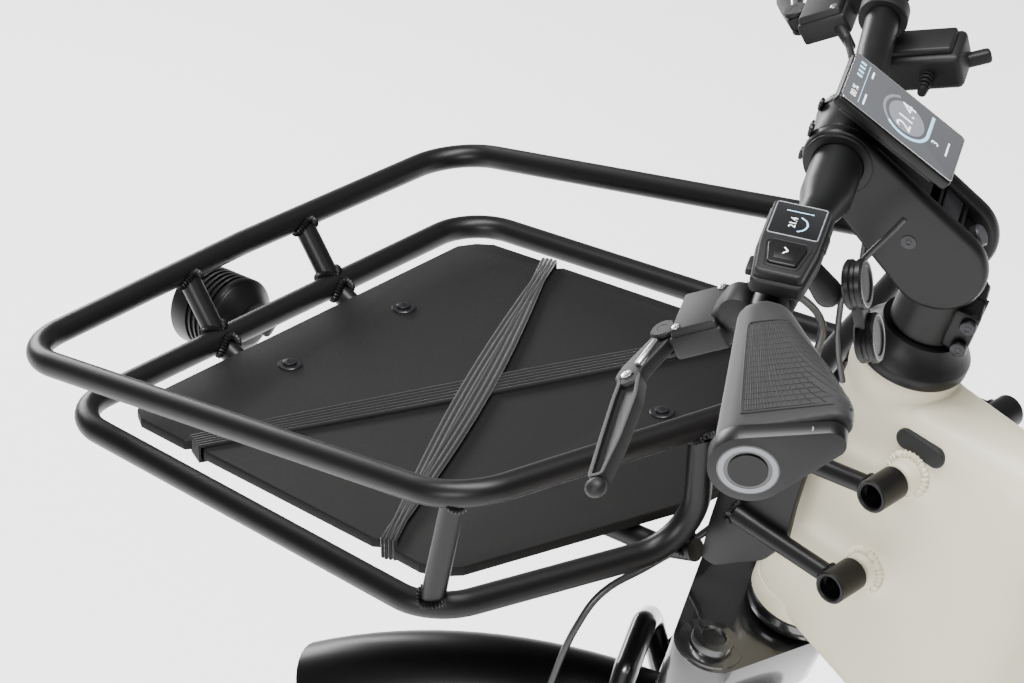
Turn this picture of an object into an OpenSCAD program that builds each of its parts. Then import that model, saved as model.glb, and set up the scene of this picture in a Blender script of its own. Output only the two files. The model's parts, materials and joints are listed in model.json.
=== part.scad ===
// Longtail cargo bicycle with a frame-mounted front carrier, bars turned to the left.
// +X forward, +Y to the rider's left, +Z up, ground at z = 0.

/* [Layout] */
// Middle plane of the bicycle, left of the middle of the overall box
mid_y = -45; // [-60:1:0]
// Lower end of the head tube, forward of the middle of the overall box
head_x = 431; // [400:1:460]
// Lower end of the head tube above the ground
head_z = 800; // [790:1:810]
// Angle of the head tube to the ground
head_angle = 69.3; // [67:0.1:72]
// Length of the head tube
head_len = 221; // [200:1:240]
// Turn of the bars and the front wheel to the left
steer = 27; // [0:1:45]
// Rear axle, from the middle of the overall box
rear_axle_x = -620; // [-660:1:-600]
// Crank axle, from the middle of the overall box
crank_x = -60; // [-80:1:-40]
// Crank axle above the ground
crank_z = 290; // [280:1:300]
// Angle of the seat tube to the ground
seat_angle = 72; // [70:0.5:75]
// Length of the seat tube from the crank axle
seat_tube_len = 470; // [450:1:500]
// Top of the saddle above the ground
saddle_h = 1000; // [920:1:1040]

/* [Wheels] */
// Outer radius of the tyres
tyre_r = 340; // [330:1:345]
// Width of the tyres
tyre_w = 60; // [50:1:62]
// Outer radius of the rims
rim_r = 288; // [284:1:292]
// Width of the rims
rim_w = 34; // [30:1:38]
// Radial height of the rims
rim_h = 22; // [18:1:26]
// Number of spokes in a wheel
spoke_count = 36; // [28:2:36]
// Diameter of a spoke
spoke_d = 2.3; // [2:0.1:2.6]
// Radius of the brake rotors
rotor_r = 90; // [80:1:101.5]
// Thickness of the brake rotors
rotor_t = 2; // [1.8:0.1:2.3]

/* [Fork] */
// Distance of the front axle ahead of the steering axis
fork_offset = 44; // [38:1:50]
// Lower end of the head tube to the front axle, along the steering axis
fork_len = 510; // [500:1:520]
// Distance of each fork leg from the middle of the fork
leg_y = 65; // [62:1:70]
// Diameter of the stanchions
stanchion_d = 34; // [32:1:36]
// Outer diameter of the lower legs
lower_d = 44; // [42:1:48]
// Diameter of the steerer inside the headset
steerer_d = 34; // [30:1:38]
// Suspension travel
fork_travel = 60; // [50:1:62]

/* [Front carrier] */
// Middle of the carrier, ahead of the lower end of the head tube
carrier_ahead = 299; // [295:1:310]
// Lower rail of the carrier, above the lower end of the head tube
carrier_above = 49; // [40:1:60]
// Diameter of the carrier rails
rail_d = 18; // [16:1:20]
// Diameter of the arms that reach back to the head tube
arm_d = 13; // [12:1:15]
// Bend radius of the rail corners
rail_bend = 45; // [35:1:50]
// Thickness of the deck plate
deck_t = 8; // [6:1:10]
// Width of the elastic straps
strap_w = 25; // [20:1:30]

/* [Cockpit] */
// Diameter of the bar at the stem
bar_mid_d = 31.8; // [31.8, 35]
// Diameter of the bar under the grips
bar_end_d = 22.2; // [22.2]
// Distance of the bar from the steering axis
bar_ahead = 89; // [80:1:95]
// Height of the bar above the lower end of the head tube, along the steering axis
bar_up = 352; // [345:1:360]
// Distance of each bar end from the middle
bar_half = 330; // [320:1:345]
// Width of the stem arm
stem_w = 50; // [46:1:54]

/* [Drive and seat] */
// Length of the crank arms
crank_len = 170; // [165:1:175]
// Radius of the front belt pulley
ring_r = 78; // [70:1:82]
// Radius of the rear belt pulley
cog_r = 40; // [36:1:44]
// Distance of the belt from the middle plane
belt_y = 58; // [56:1:60]
// Diameter of the seatpost
post_d = 31.6; // [27.2, 30.9, 31.6]

/* [Rear rack] */
// Top of the rear deck above the ground
rack_z = 752; // [740:1:770]
// Rear end of the rear deck
rack_end_x = -1000; // [-1020:1:-960]
// Width of the rear deck
rack_w = 150; // [140:1:160]
// Diameter of the rack tubes
rack_d = 20; // [18:1:22]

/* [Hidden] */
$fn = 48;

// Radial clearance of a shaft in its bore
run_gap = 0.05;
// Clearance between neighbours that move past each other
gap = 0.5;
// How far a welded tube's end sinks into its neighbour
weld = 2;

cream = "#c3bda6";
satin_black = "#1d1d1e";
dark_grey = "#3a3a3c";
silver = "#b4b6b8";

function unit(v) = v / norm(v);
function mix(a, b, t) = a + (b - a) * t;
function left_right(p) = [p.x, -p.y, p.z];

// Places on the middle plane of the bicycle
head_at = [head_x, 0, head_z];
carrier_at = head_at + [carrier_ahead, 0, carrier_above];
crank_at = [crank_x, 0, crank_z];
rear_axle_at = [rear_axle_x, 0, tyre_r];
seat_dir = [-cos(seat_angle), 0, sin(seat_angle)];
seat_top = crank_at + seat_tube_len * seat_dir;
steer_dir = [-cos(head_angle), 0, sin(head_angle)];

module bike() translate([0, mid_y, 0]) children();
module along_head() bike() translate(head_at) rotate([0, head_angle - 90, 0]) children();
module steered() along_head() rotate([0, 0, steer]) children();
module carrier() bike() translate(carrier_at) children();
module both() { children(); mirror([0, 1, 0]) children(); }
module flat_y(y0, y1) translate([0, y1, 0]) rotate([90, 0, 0]) linear_extrude(y1 - y0) children();

// A straight round bar from a to b
module rod(a, b, d) {
    v = b - a;
    translate(a) rotate([0, acos(v.z / norm(v)), atan2(v.y, v.x)]) cylinder(h = norm(v), d = d);
}

// Points of one round bend at corner p, from direction u to direction w
function bend_points(p, u, w, r, steps = 6) =
    let(turn = acos(u * w), toward = cross(unit(cross(u, w)), u), c = p - u * r * tan(turn / 2) + toward * r)
    [for (k = [0 : steps]) c - toward * r * cos(turn * k / steps) + u * r * sin(turn * k / steps)];

// The middle line of a tube bent at radius r at each corner
function bent_path(p, r, closed) =
    let(n = len(p), first = closed ? 0 : 1, last = closed ? n - 1 : n - 2)
    concat(
        closed ? [] : [p[0]],
        [for (i = [first : last])
            each bend_points(p[i], unit(p[i] - p[(i + n - 1) % n]), unit(p[(i + 1) % n] - p[i]), r)],
        closed ? [] : [p[n - 1]]);

// A smooth route through hand-placed points
function route_point(p, i, t) =
    let(a = p[max(i - 1, 0)], b = p[i], c = p[i + 1], e = p[min(i + 2, len(p) - 1)])
    0.5 * (2 * b + (c - a) * t + (2 * a - 5 * b + 4 * c - e) * t * t + (3 * b - a - 3 * c + e) * t * t * t);
function route(p, steps) =
    concat([for (i = [0 : len(p) - 2], k = [0 : steps - 1]) route_point(p, i, k / steps)], [p[len(p) - 1]]);

// Directions along a path, and a sideways direction carried along it without twist
function path_dir(p, i, closed) =
    let(n = len(p))
    closed ? unit(p[(i + 1) % n] - p[(i + n - 1) % n]) : unit(p[min(i + 1, n - 1)] - p[max(i - 1, 0)]);
function carried(p, s, i = 0) =
    i == len(p) ? [] : let(t = path_dir(p, i, false), side = unit(s - (s * t) * t)) concat([side], carried(p, side, i + 1));

// A round tube swept along a path
module swept(path, d, closed = false, sides = 16) {
    n = len(path);
    across = closed ? [for (i = [0 : n - 1]) unit(cross(path_dir(path, i, true), [0, 0, 1]))]
        : carried(path, cross(path_dir(path, 0, false), [0.12, 0.35, 1]));
    points = [for (i = [0 : n - 1])
        let(up = cross(across[i], path_dir(path, i, closed)))
        for (k = [0 : sides - 1]) path[i] + d / 2 * (across[i] * cos(k * 360 / sides) + up * sin(k * 360 / sides))];
    walls = [for (i = [0 : n - (closed ? 1 : 2)], k = [0 : sides - 1])
        let(a = i * sides, b = (i + 1) % n * sides, m = (k + 1) % sides) [a + k, a + m, b + m, b + k]];
    caps = closed ? [] : [[for (k = [sides - 1 : -1 : 0]) k], [for (k = [0 : sides - 1]) (n - 1) * sides + k]];
    polyhedron(points, concat(walls, caps), 6);
}
module bent_tube(pts, r, d, closed = false, sides = 16) swept(bent_path(pts, r, closed), d, closed, sides);
module hose(pts, d, steps = 3) swept(route(pts, steps), d, false, 8);

// ---- Frame ----
head_d = 68;
head_bore_d = steerer_d + 6;
seat_tube_d = 38;
down_low = crank_at + [42, 0, 62];
down_d = 84;
top_low = crank_at + (seat_tube_len - 50) * seat_dir;
neck_top = head_at + [-175, 0, 138];
neck_low = head_at + [-130, 0, -40];
sleeve_low = carrier_at + [-377, 0, 17];
sleeve_top = carrier_at + [-405, 0, 96];
sleeve_y = [50, 76];
sleeve_bolt_d = 8;
battery_at = mix(neck_low, down_low, 0.12);
battery_len = 300;
battery_w = 64;
battery_t = 46;
battery_tilt = atan2((neck_low - down_low).z, (neck_low - down_low).x);

module neck() {
    hull() {
        translate(head_at) rotate([0, head_angle - 90, 0]) translate([0, 0, 6]) cylinder(h = head_len - 12, d = head_d - 4);
        translate(neck_top) sphere(r = 32);
        translate(neck_low) sphere(d = down_d);
    }
}

module battery_block(grow) {
    translate(battery_at) rotate([0, -battery_tilt, 0])
        translate([-battery_len - grow, -battery_w / 2 - grow, -down_d / 2 - 14 - grow])
            cube([battery_len + 2 * grow, battery_w + 2 * grow, battery_t + 2 * grow]);
}

module post_bore() translate(crank_at + (seat_tube_len - 240) * seat_dir) rotate([0, seat_angle - 90, 0])
    cylinder(h = 260, d = post_d + 2 * run_gap);

module motor_outline(grow) hull() {
    translate([crank_x, crank_z]) circle(r = 54 + grow);
    translate([crank_x + 46, crank_z + 30]) circle(r = 42 + grow);
    translate([crank_x - 48, crank_z + 34]) circle(r = 36 + grow);
}

module main_frame() color(cream) bike() difference() {
    union() {
        translate(head_at) rotate([0, head_angle - 90, 0]) cylinder(h = head_len, d = head_d);
        neck();
        hull() {
            translate(neck_low) sphere(d = down_d, $fn = 32);
            translate(down_low + [10, 0, 40]) sphere(d = down_d - 6, $fn = 32);
        }
        hull() {
            translate(neck_top) sphere(r = 30, $fn = 32);
            translate(top_low) sphere(r = 22, $fn = 32);
        }
        rod(crank_at + 95 * seat_dir, seat_top, seat_tube_d);
        flat_y(-44, 44) hull() {
            translate([crank_x + 50, crank_z + 95]) circle(r = 36);
            translate([crank_x - 48, crank_z + 75]) circle(r = 34);
            translate([crank_x - 82, crank_z + 26]) circle(r = 16);
        }
        for (s = [sleeve_low, sleeve_top]) both()
            translate([s.x, 0, s.z]) rotate([-90, 0, 0]) cylinder(h = sleeve_y[0], d = 24);
    }
    translate(head_at - 20 * steer_dir) rotate([0, head_angle - 90, 0]) cylinder(h = head_len + 40, d = head_bore_d);
    translate(head_at - 30 * steer_dir) rotate([0, head_angle - 90, 0]) cylinder(h = 30, d = head_d + 2 * gap);
    post_bore();
    flat_y(-60, 60) motor_outline(gap);
    battery_block(gap);
    for (s = [sleeve_low, sleeve_top]) both()
        translate([s.x, 28, s.z]) rotate([-90, 0, 0]) cylinder(h = 40, d = sleeve_bolt_d + 2 * run_gap);
}

module head_cover() color(satin_black) along_head() difference() {
    translate([0, 0, head_len + 0.2]) rotate_extrude() polygon([[0, 0], [36, 0], [37.5, 3], [37.5, 8], [27, 24], [25.5, 26], [0, 26]]);
    translate([0, 0, head_len - 1]) cylinder(h = 40, d = steerer_d + 2 * run_gap);
}

module head_ring() color(dark_grey) along_head() difference() {
    translate([0, 0, -12.2]) cylinder(h = 12, d = head_d);
    translate([0, 0, -20]) cylinder(h = 40, d = steerer_d + 2 * run_gap);
}

plug_at = head_at + [-112, 0, 164];
module frame_plug() color(dark_grey) bike()
    translate([plug_at.x, 27, plug_at.z]) rotate([-90, 0, 0]) rotate([0, 0, -14]) linear_extrude(8) {
        translate([-11.5, -7]) square([23, 14]);
        for (s = [-11.5, 11.5]) translate([s, 0]) circle(d = 14);
    }

module battery() color(satin_black) bike() battery_block(0);

spindle_d = 20;
module motor() color(dark_grey) bike() difference() {
    flat_y(-46, 46) motor_outline(0);
    translate([crank_x, 60, crank_z]) rotate([90, 0, 0]) cylinder(h = 120, d = spindle_d + 2 * run_gap);
}

module seat_clamp() color(satin_black) bike() translate(seat_top - 14 * seat_dir) rotate([0, seat_angle - 90, 0]) difference() {
    union() {
        cylinder(h = 16, d = seat_tube_d + 10);
        translate([-30, -9, 0]) cube([14, 18, 16]);
    }
    translate([0, 0, -1]) cylinder(h = 18, d = seat_tube_d + 2 * run_gap);
}

// ---- Rear end ----
stay_d = 22;
dropout_y = 78;
dropout_t = 8;
rear_axle_d = 12;
rail_z = rack_z - 8 - rack_d / 2;
stand_at = crank_at + [-202, 0, -95];
stand_tube_d = 16;
bridge_at = crank_at + [-195, 0, 28];

rack_half = [crank_at + (seat_tube_len - 46) * seat_dir + [-12, 16, 0], [-330, dropout_y, rail_z], [rack_end_x + 14, dropout_y, rail_z]];
module rear_frame() color(cream) bike() difference() {
    union() {
        bent_tube(mirrored_run(rack_half), 40, rack_d);
        for (x = [-430, -840]) rod([x, -dropout_y, rail_z], [x, dropout_y, rail_z], 14);
        both() {
            for (x = [-350, -660, -930])
                rod(rear_axle_at + [x / 40, dropout_y, 34], [x, dropout_y, rail_z], 16);
            rod([crank_x - 92, 38, crank_z + 34], rear_axle_at + [42, dropout_y, 3], stay_d);
            translate([rear_axle_x, 0, tyre_r]) flat_y(dropout_y - dropout_t / 2, dropout_y + dropout_t / 2) hull() {
                circle(r = 22);
                translate([42, 3]) circle(r = 13);
                translate([-14, 36]) circle(r = 14);
            }
            flat_y(32, 40) hull() {
                translate([bridge_at.x, bridge_at.z]) circle(d = 30);
                translate([stand_at.x, stand_at.z]) circle(d = 32);
            }
        }
        rod(bridge_at - [0, 56, 0], bridge_at + [0, 56, 0], 18);
        rod(rear_axle_at - [0, dropout_y + 10, 0], rear_axle_at + [0, dropout_y + 10, 0], rear_axle_d);
    }
    translate(stand_at + [0, 60, 0]) rotate([90, 0, 0]) cylinder(h = 120, d = stand_tube_d + 2 * run_gap);
    post_bore();
}

module fender_profile(mid_r, r, t) translate([mid_r, 0]) difference() {
    circle(r = r);
    circle(r = r - t);
    translate([-r - 1, -r - 1]) square([r + 11, 2 * r + 2]);
}

rear_fender_r = 366;
module rear_fender() color(satin_black) bike() translate(rear_axle_at) {
    rotate([90, 0, 0]) rotate([0, 0, 28]) rotate_extrude(angle = 150) fender_profile(rear_fender_r - 38, 38, 3);
    both() rod([-60, dropout_y - 6, 82], [-(rear_fender_r - 24) * cos(20), 36, (rear_fender_r - 24) * sin(20)], 4);
}

module rack_deck() color(satin_black) bike() difference() {
    translate([rack_end_x + 4, -rack_w / 2, rack_z - 8]) cube([-345 - rack_end_x, rack_w, 8]);
    for (x = [-480, -720], y = [-45, 45]) translate([x, y, rack_z - 10]) cylinder(h = 12, d = 6.4);
}

module tail_light() color("#8c1d18") bike() translate([rack_end_x - 3, 0, rail_z]) rotate([0, -90, 0])
    linear_extrude(14) hull() for (y = [-30, 30]) translate([0, y]) circle(d = 26);

rear_rotor_y = 52;
module rear_calliper() color(satin_black) bike() translate(rear_axle_at + [62, rear_rotor_y, 62]) rotate([0, 45, 0]) difference() {
    translate([-26, -13, -18]) cube([52, 21, 34]);
    translate([-27, -rotor_t / 2 - gap, -19]) cube([54, rotor_t + 2 * gap, 28]);
}

// ---- Front carrier: points are ahead of, left of and above the middle of its lower rail ----
upper_front = [217, 228, 44];
upper_rear = [-219, 252, 98];
upper_back = [-290, 0, 98];
lower_front = [186, 212, 0];
lower_rear = [-186, 241, 0];
lower_back = [-255, 59, 0];
riser_top = mix(upper_rear, upper_back, 0.71);
strut_y = 60;
deck_top = 3;
bow = 6;

// A half outline from the middle back to the middle front, closed round the other side
function mirrored_loop(p) = concat(p, [for (i = [len(p) - 2 : -1 : 1]) left_right(p[i])]);
function mirrored_run(p) = concat(p, [for (i = [len(p) - 1 : -1 : 0]) left_right(p[i])]);

light_at = [255, 0, -20];
module carrier_upper_rail() color(satin_black) carrier() {
    bent_tube(mirrored_loop([upper_back, upper_rear, upper_front, [upper_front.x + bow, 0, upper_front.z]]), rail_bend, rail_d, true, 20);
}

module carrier_lower_rail() color(satin_black) carrier()
    bent_tube(mirrored_run([riser_top - [0, 0, rail_d / 2 - weld], lower_back, lower_rear, lower_front]), 40, rail_d, false, 20);

module carrier_struts() color(satin_black) carrier() {
    rod([lower_front.x + 3, 0, -3], [lower_front.x + 14, 0, light_at.z], 10);
    rod([lower_front.x + 12, 0, light_at.z], light_at - [42 + 3 * gap, 0, 0], 10);
    both() {
        rod([upper_front.x + 4 - 3, strut_y, upper_front.z - rail_d / 2 + weld], [lower_front.x + 4, strut_y, rail_d / 2 - weld], rail_d - 2);
        rod([upper_rear.x + 10, upper_rear.y - 10, upper_rear.z - rail_d / 2 + weld], [lower_rear.x + 7, lower_rear.y - 8, rail_d / 2 - weld], rail_d - 2);
        bent_tube([[lower_front.x - rail_d / 2 + weld, strut_y, -8], [lower_front.x - 26, strut_y, -15],
            [lower_back.x + 35, strut_y, -15], [lower_back.x - 2, strut_y, -6]], 20, rail_d - 2);
    }
}

bracket_t = 6;
module carrier_brackets() color(satin_black) carrier() both() {
    flat_y(56, 56 + bracket_t) polygon([[-262, -8], [-273, -11], [-314, 9], [-330, 27], [-336, 56], [-345, 88], [-345, 96],
        [-296, 90], [-280, 60], [-268, 20]]);
    rod([-290, 65, 38], [-377 + 8, 65, 19], arm_d);
    rod([-296, 65, 97], [-405 + 8, 65, 96], arm_d);
    for (s = [[-377, 17], [-405, 96]]) translate([s.x, sleeve_y[0], s.y]) rotate([-90, 0, 0]) difference() {
        cylinder(h = sleeve_y[1] - sleeve_y[0], d = 22);
        translate([0, 0, -1]) cylinder(h = 40, d = sleeve_bolt_d + 2 * run_gap);
        translate([0, 0, 6]) cylinder(h = 40, d = 16);
    }
}

deck_half = [[158, 0], [158, 165], [150, 178], [138, 186], [92, 189], [88, 184], [76, 185], [72, 190],
    [-96, 200], [-102, 196], [-114, 197], [-118, 202], [-142, 204], [-156, 198], [-166, 188], [-224, 20], [-226, 0]];
module carrier_deck() color("#161617") carrier() translate([0, 0, deck_top - deck_t]) difference() {
    linear_extrude(deck_t) polygon(concat(deck_half, [for (i = [len(deck_half) - 2 : -1 : 1]) [deck_half[i].x, -deck_half[i].y]]));
    both() for (x = [116, -130]) translate([x, strut_y, -1]) cylinder(h = deck_t + 2, d = 5 + 2 * run_gap);
}

module carrier_fasteners() color(silver) {
    carrier() both() for (x = [116, -130]) translate([x, strut_y, deck_top - deck_t]) {
        cylinder(h = deck_t, d = 5);
        translate([0, 0, deck_t]) cylinder(h = 1.6, d = 18);
        translate([0, 0, deck_t + 1.6]) cylinder(h = 2.4, d = 10);
    }
    bike() both() for (s = [sleeve_low, sleeve_top]) translate([s.x, 0, s.z]) rotate([-90, 0, 0]) {
        translate([0, 0, 30]) cylinder(h = sleeve_y[0] - 24, d = sleeve_bolt_d);
        translate([0, 0, sleeve_y[0] + 6]) cylinder(h = 7, d = 13);
    }
}

strap_t = 2.4;
module strap_band(a, b, z0) {
    v = b - a;
    translate([a.x, a.y, z0]) rotate([0, 0, atan2(v.y, v.x)]) translate([0, -strap_w / 2, 0]) cube([norm(v), strap_w, strap_t]);
}
module straps() color("#202022") carrier() {
    strap_band([82, 183], [-108, -195], deck_top + 0.3);
    strap_band([82, -183], [-108, 195], deck_top + 0.4 + strap_t);
}

light_d = 62;
module headlight_body() color(satin_black) carrier() translate(light_at) rotate([0, 90, 0]) {
    translate([0, 0, -30]) cylinder(h = 46, d = light_d);
    translate([0, 0, -42]) cylinder(h = 12, d1 = 34, d2 = light_d - 8);
}
module headlight_lens() color("#dfe6ea") carrier() translate(light_at) rotate([0, 90, 0]) translate([0, 0, 16]) cylinder(h = 6, d = light_d - 8);

// ---- Steering: ahead of, left of and above the lower end of the head tube, along the steering axis ----
steerer_top = 282;
crown_top = -14;
module fork_upper() color(satin_black) steered() {
    translate([0, 0, crown_top - 20]) cylinder(h = steerer_top - crown_top + 20, d = steerer_d);
    translate([0, 0, crown_top - 48]) linear_extrude(48) hull() {
        circle(d = 62);
        for (s = [-1, 1]) translate([fork_offset, s * leg_y]) circle(d = 50);
    }
    for (s = [-1, 1]) translate([fork_offset, s * leg_y, crown_top - 60]) cylinder(h = 62, d = 46);
    for (s = [-1, 1]) translate([fork_offset, s * leg_y, 0]) {
        translate([0, 0, -285]) cylinder(h = 230, d = stanchion_d);
        translate([0, 0, crown_top]) cylinder(h = 8, d = 30);
    }
}

lower_top = -150;
arch_pts = [[56, 63, -182], [84, 57, -124], [87, 26, -104], [87, -26, -104], [84, -57, -124], [56, -63, -182]];
module fork_lowers() color(satin_black) steered() {
    difference() {
        union() {
            for (s = [-1, 1])
                translate([fork_offset, s * leg_y, -fork_len - 14]) cylinder(h = fork_len + 14 + lower_top, d = lower_d);
            bent_tube(arch_pts, 14, 18);
        }
        for (s = [-1, 1]) translate([fork_offset, s * leg_y, -fork_len + 110])
            cylinder(h = fork_len, d = stanchion_d + 2 * run_gap);
        translate([fork_offset - 40, -50, -fork_len - 30]) cube([80, 100, 62]);
    }
    translate([fork_offset, leg_y + 24, -fork_len]) rotate([90, 0, 0]) cylinder(h = 2 * leg_y + 48, d = 15);
}

module at_front_axle() steered() translate([fork_offset, 0, -fork_len]) children();

front_fender_r = 380;
fender_tip = 47;
module front_fender() color(satin_black) at_front_axle() {
    rotate([90, 0, 0]) rotate([0, 0, fender_tip]) rotate_extrude(angle = 150) fender_profile(front_fender_r - 38, 38, 3);
    both() for (a = [150, 190])
        rod([-8, leg_y + lower_d / 2 + 3, 16], (front_fender_r - 24) * [cos(a), 0, sin(a)] + [0, 36, 0], 4);
    rod([43, 0, 375], [43, 0, 396.5], 10);
}

front_rotor_y = 38;
module front_calliper() color(satin_black) at_front_axle() translate([-48, front_rotor_y + 4, 70]) rotate([0, 28, 0]) difference() {
    translate([-20, -10, -28]) cube([34, 22, 56]);
    translate([-21, -4 - rotor_t / 2 - gap, -29]) cube([80, rotor_t + 2 * gap, 58]);
}

// Stem
pivot_at = [8, 0, 306];
bar_at = [bar_ahead, 0, bar_up];
module stem_base() color(satin_black) steered() {
    difference() {
        union() {
            translate([0, 0, head_len + 26.5]) cylinder(h = steerer_top - head_len - 24.5, d = 46);
            flat_y(-13, 13) hull() {
                translate([pivot_at.x, pivot_at.z]) circle(r = 20);
                translate([0, 274]) circle(r = 20);
            }
            translate([-30, -20, 250]) cube([18, 40, 30]);
        }
        translate([0, 0, head_len]) cylinder(h = steerer_top - head_len + 0.2, d = steerer_d + 2 * run_gap);
        translate([pivot_at.x, 40, pivot_at.z]) rotate([90, 0, 0]) cylinder(h = 80, d = 16 + 2 * run_gap);
    }
    translate([pivot_at.x, 24, pivot_at.z]) rotate([90, 0, 0]) difference() {
        cylinder(h = 48, d = 16);
        translate([0, 0, -1]) cylinder(h = 12, d = 10);
    }
    for (z = [255, 273]) translate([-24, 25.5, z]) rotate([90, 0, 0]) cylinder(h = 5, d = 11);
}

module stem_arm() color(satin_black) steered() difference() {
    flat_y(-stem_w / 2, stem_w / 2) hull() {
        translate([pivot_at.x, pivot_at.z]) circle(r = 31);
        translate([bar_at.x, bar_at.z]) circle(r = 23);
    }
    flat_y(-13 - gap, 13 + gap) {
        translate([pivot_at.x, pivot_at.z]) circle(r = 22);
        translate([-40, 240]) square([72, 66]);
    }
    translate([0, 0, 240]) cylinder(h = 46, d = 50);
    translate([pivot_at.x, 40, pivot_at.z]) rotate([90, 0, 0]) cylinder(h = 80, d = 16 + 2 * run_gap);
    translate([bar_at.x, 40, bar_at.z]) rotate([90, 0, 0]) cylinder(h = 80, d = bar_mid_d + 0.04);
}

// Bar and what is on it: left side points, mirrored for the right
bar_in = bar_at + [2, 84, 2];
bar_bend = [98, 190, bar_up + 5];
bar_tip = [77, bar_half, bar_up + 5];
function bar_dir(y) = unit(y < bar_bend.y ? bar_bend - bar_in : bar_tip - bar_bend);
function on_bar(y) = bar_bend + bar_dir(y) * (y - bar_bend.y) / bar_dir(y).y;
module on_bar_at(y) translate(on_bar(y)) rotate([0, 0, atan2(bar_dir(y).y, bar_dir(y).x) - 90])
    rotate([asin(bar_dir(y).z) - 90, 0, 0]) children();

module handlebar() color(satin_black) steered() {
    translate(bar_at + [0, 62, 0]) rotate([90, 0, 0]) cylinder(h = 124, d = bar_mid_d);
    both() {
        translate(bar_at + [0, 62, 0]) rotate([-90, 0, 0]) cylinder(h = 16, d1 = bar_mid_d, d2 = bar_end_d + 1.4);
        bent_tube([bar_at + [0, 40, 0], bar_in, bar_bend, bar_tip], 60, bar_end_d, false, 24);
    }
}

grip_start = 202;
grip_end = 318;
module grip_shape() difference() {
    hull() {
        on_bar_at(grip_start) cylinder(h = 20, d = 33, $fn = 32);
        on_bar_at(grip_end - 8) cylinder(h = 8, d = 40, $fn = 32);
        on_bar_at(grip_end - 18) translate([-38, -34, 0]) cylinder(h = 14, d = 18, $fn = 24);
        on_bar_at(grip_start + 60) translate([-22, -18, 0]) cylinder(h = 20, d = 20, $fn = 24);
    }
    on_bar_at(grip_start - 10) cylinder(h = 160, d = bar_end_d + 2 * run_gap);
}
module grip_left() color(dark_grey) steered() grip_shape();
module grip_right() color(dark_grey) steered() mirror([0, 1, 0]) grip_shape();
module grip_clamps() color(satin_black) steered() both() difference() {
    on_bar_at(grip_end + 0.3) hull() {
        cylinder(h = 11, d = 46);
        translate([-36, -32, 0]) cylinder(h = 10, d = 18);
    }
    on_bar_at(grip_end - 20) cylinder(h = 33, d = bar_end_d + 2 * run_gap);
}

display_at = [63, 0, 385];
display_tilt = 20;
module display() color("#0c0d0f") steered() translate(display_at) rotate([0, -display_tilt, 0]) {
    translate([-44, -25, -9]) cube([88, 50, 9]);
    translate([-36, -20, -13]) cube([72, 40, 4.5]);
}

remote_mid = 160;
remote_up = [3, 0, 24];
module remote() color(satin_black) steered() difference() {
    union() {
        on_bar_at(remote_mid - 10) cylinder(h = 14, d = 30);
        translate(on_bar(remote_mid) + remote_up) rotate([0, 12, 0]) translate([-19, -37, -9]) cube([38, 74, 16]);
    }
    on_bar_at(remote_mid - 60) cylinder(h = 85, d = bar_end_d + 2 * run_gap);
    translate(on_bar(remote_mid) + remote_up) rotate([0, 12, 0]) translate([-13 - gap, 4 - gap, 3]) cube([26 + 2 * gap, 24 + 2 * gap, 5]);
}
module remote_button() color(dark_grey) steered()
    translate(on_bar(remote_mid) + remote_up) rotate([0, 12, 0]) translate([-13, 4, 5]) cube([26, 24, 3.6]);

// Hydraulic brake lever
lever_pivot = [144, 182, 303];
pull_axis = unit([0.69, 0, 0.73]);
brake_clamp_y = 186;
module brake_body_shape() difference() {
    union() {
        hull() {
            translate(on_bar(brake_clamp_y) + [16, 0, -8]) rotate([90, 0, 0]) translate([0, 0, -9]) cylinder(h = 18, d = 20);
            translate([128, 176, 322]) rotate([0, 43, 0]) cube([34, 44, 20], center = true);
        }
        on_bar_at(brake_clamp_y - 17) cylinder(h = 12, d = 28);
        translate(lever_pivot) rotate([0, 43, 0]) cylinder(h = 17, d = 16, center = true);
    }
    on_bar_at(brake_clamp_y - 60) cylinder(h = 64, d = bar_end_d + 2 * run_gap);
    on_bar_at(bar_bend.y - 10) cylinder(h = 40, d = bar_end_d + 1.2);
    translate(lever_pivot) rotate([0, 43, 0]) {
        cylinder(h = 30, d = 6 + 2 * run_gap, center = true);
        cylinder(h = 9 + 2 * gap, d = 22, center = true);
        translate([-6, 0, -4.5 - gap]) cube([40, 60, 9 + 2 * gap]);
    }
}
module brake_lever_shape() {
    translate(lever_pivot) rotate([0, 43, 0]) {
        cylinder(h = 17, d = 6, center = true);
        translate([0, 0, -4.5]) linear_extrude(9) hull() {
            circle(d = 16);
            translate([12, 34]) circle(d = 13);
        }
        translate([0, 0, -4.5]) linear_extrude(9) hull() {
            translate([12, 34]) circle(d = 13);
            translate([8, 138]) circle(d = 10);
        }
        translate([8, 140, 0]) sphere(d = 13);
    }
}
module brake_body_left() color(satin_black) steered() brake_body_shape();
module brake_body_right() color(satin_black) steered() mirror([0, 1, 0]) brake_body_shape();
module brake_lever_left() color(satin_black) steered() brake_lever_shape();
module brake_lever_right() color(satin_black) steered() mirror([0, 1, 0]) brake_lever_shape();

// Two-cap rocker switch behind the bar
rocker_at = [58, 132, 336];
module switch_body() color(satin_black) steered() difference() {
    union() {
        on_bar_at(126) cylinder(h = 12, d = 30);
        hull() {
            translate(on_bar(132) + [-14, 0, -6]) sphere(r = 7, $fn = 16);
            translate(rocker_at + [10, 0, 4]) sphere(r = 9, $fn = 16);
        }
    }
    on_bar_at(100) cylinder(h = 60, d = bar_end_d + 2 * run_gap);
}
module switch_rocker() color(dark_grey) steered() translate(rocker_at + [-8, 0, -2]) rotate([0, -60, 0]) {
    for (x = [-19, 19]) translate([x, 0, 0]) cylinder(h = 12, d = 30);
    translate([-14, -8, 1]) cube([28, 16, 7]);
}

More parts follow.
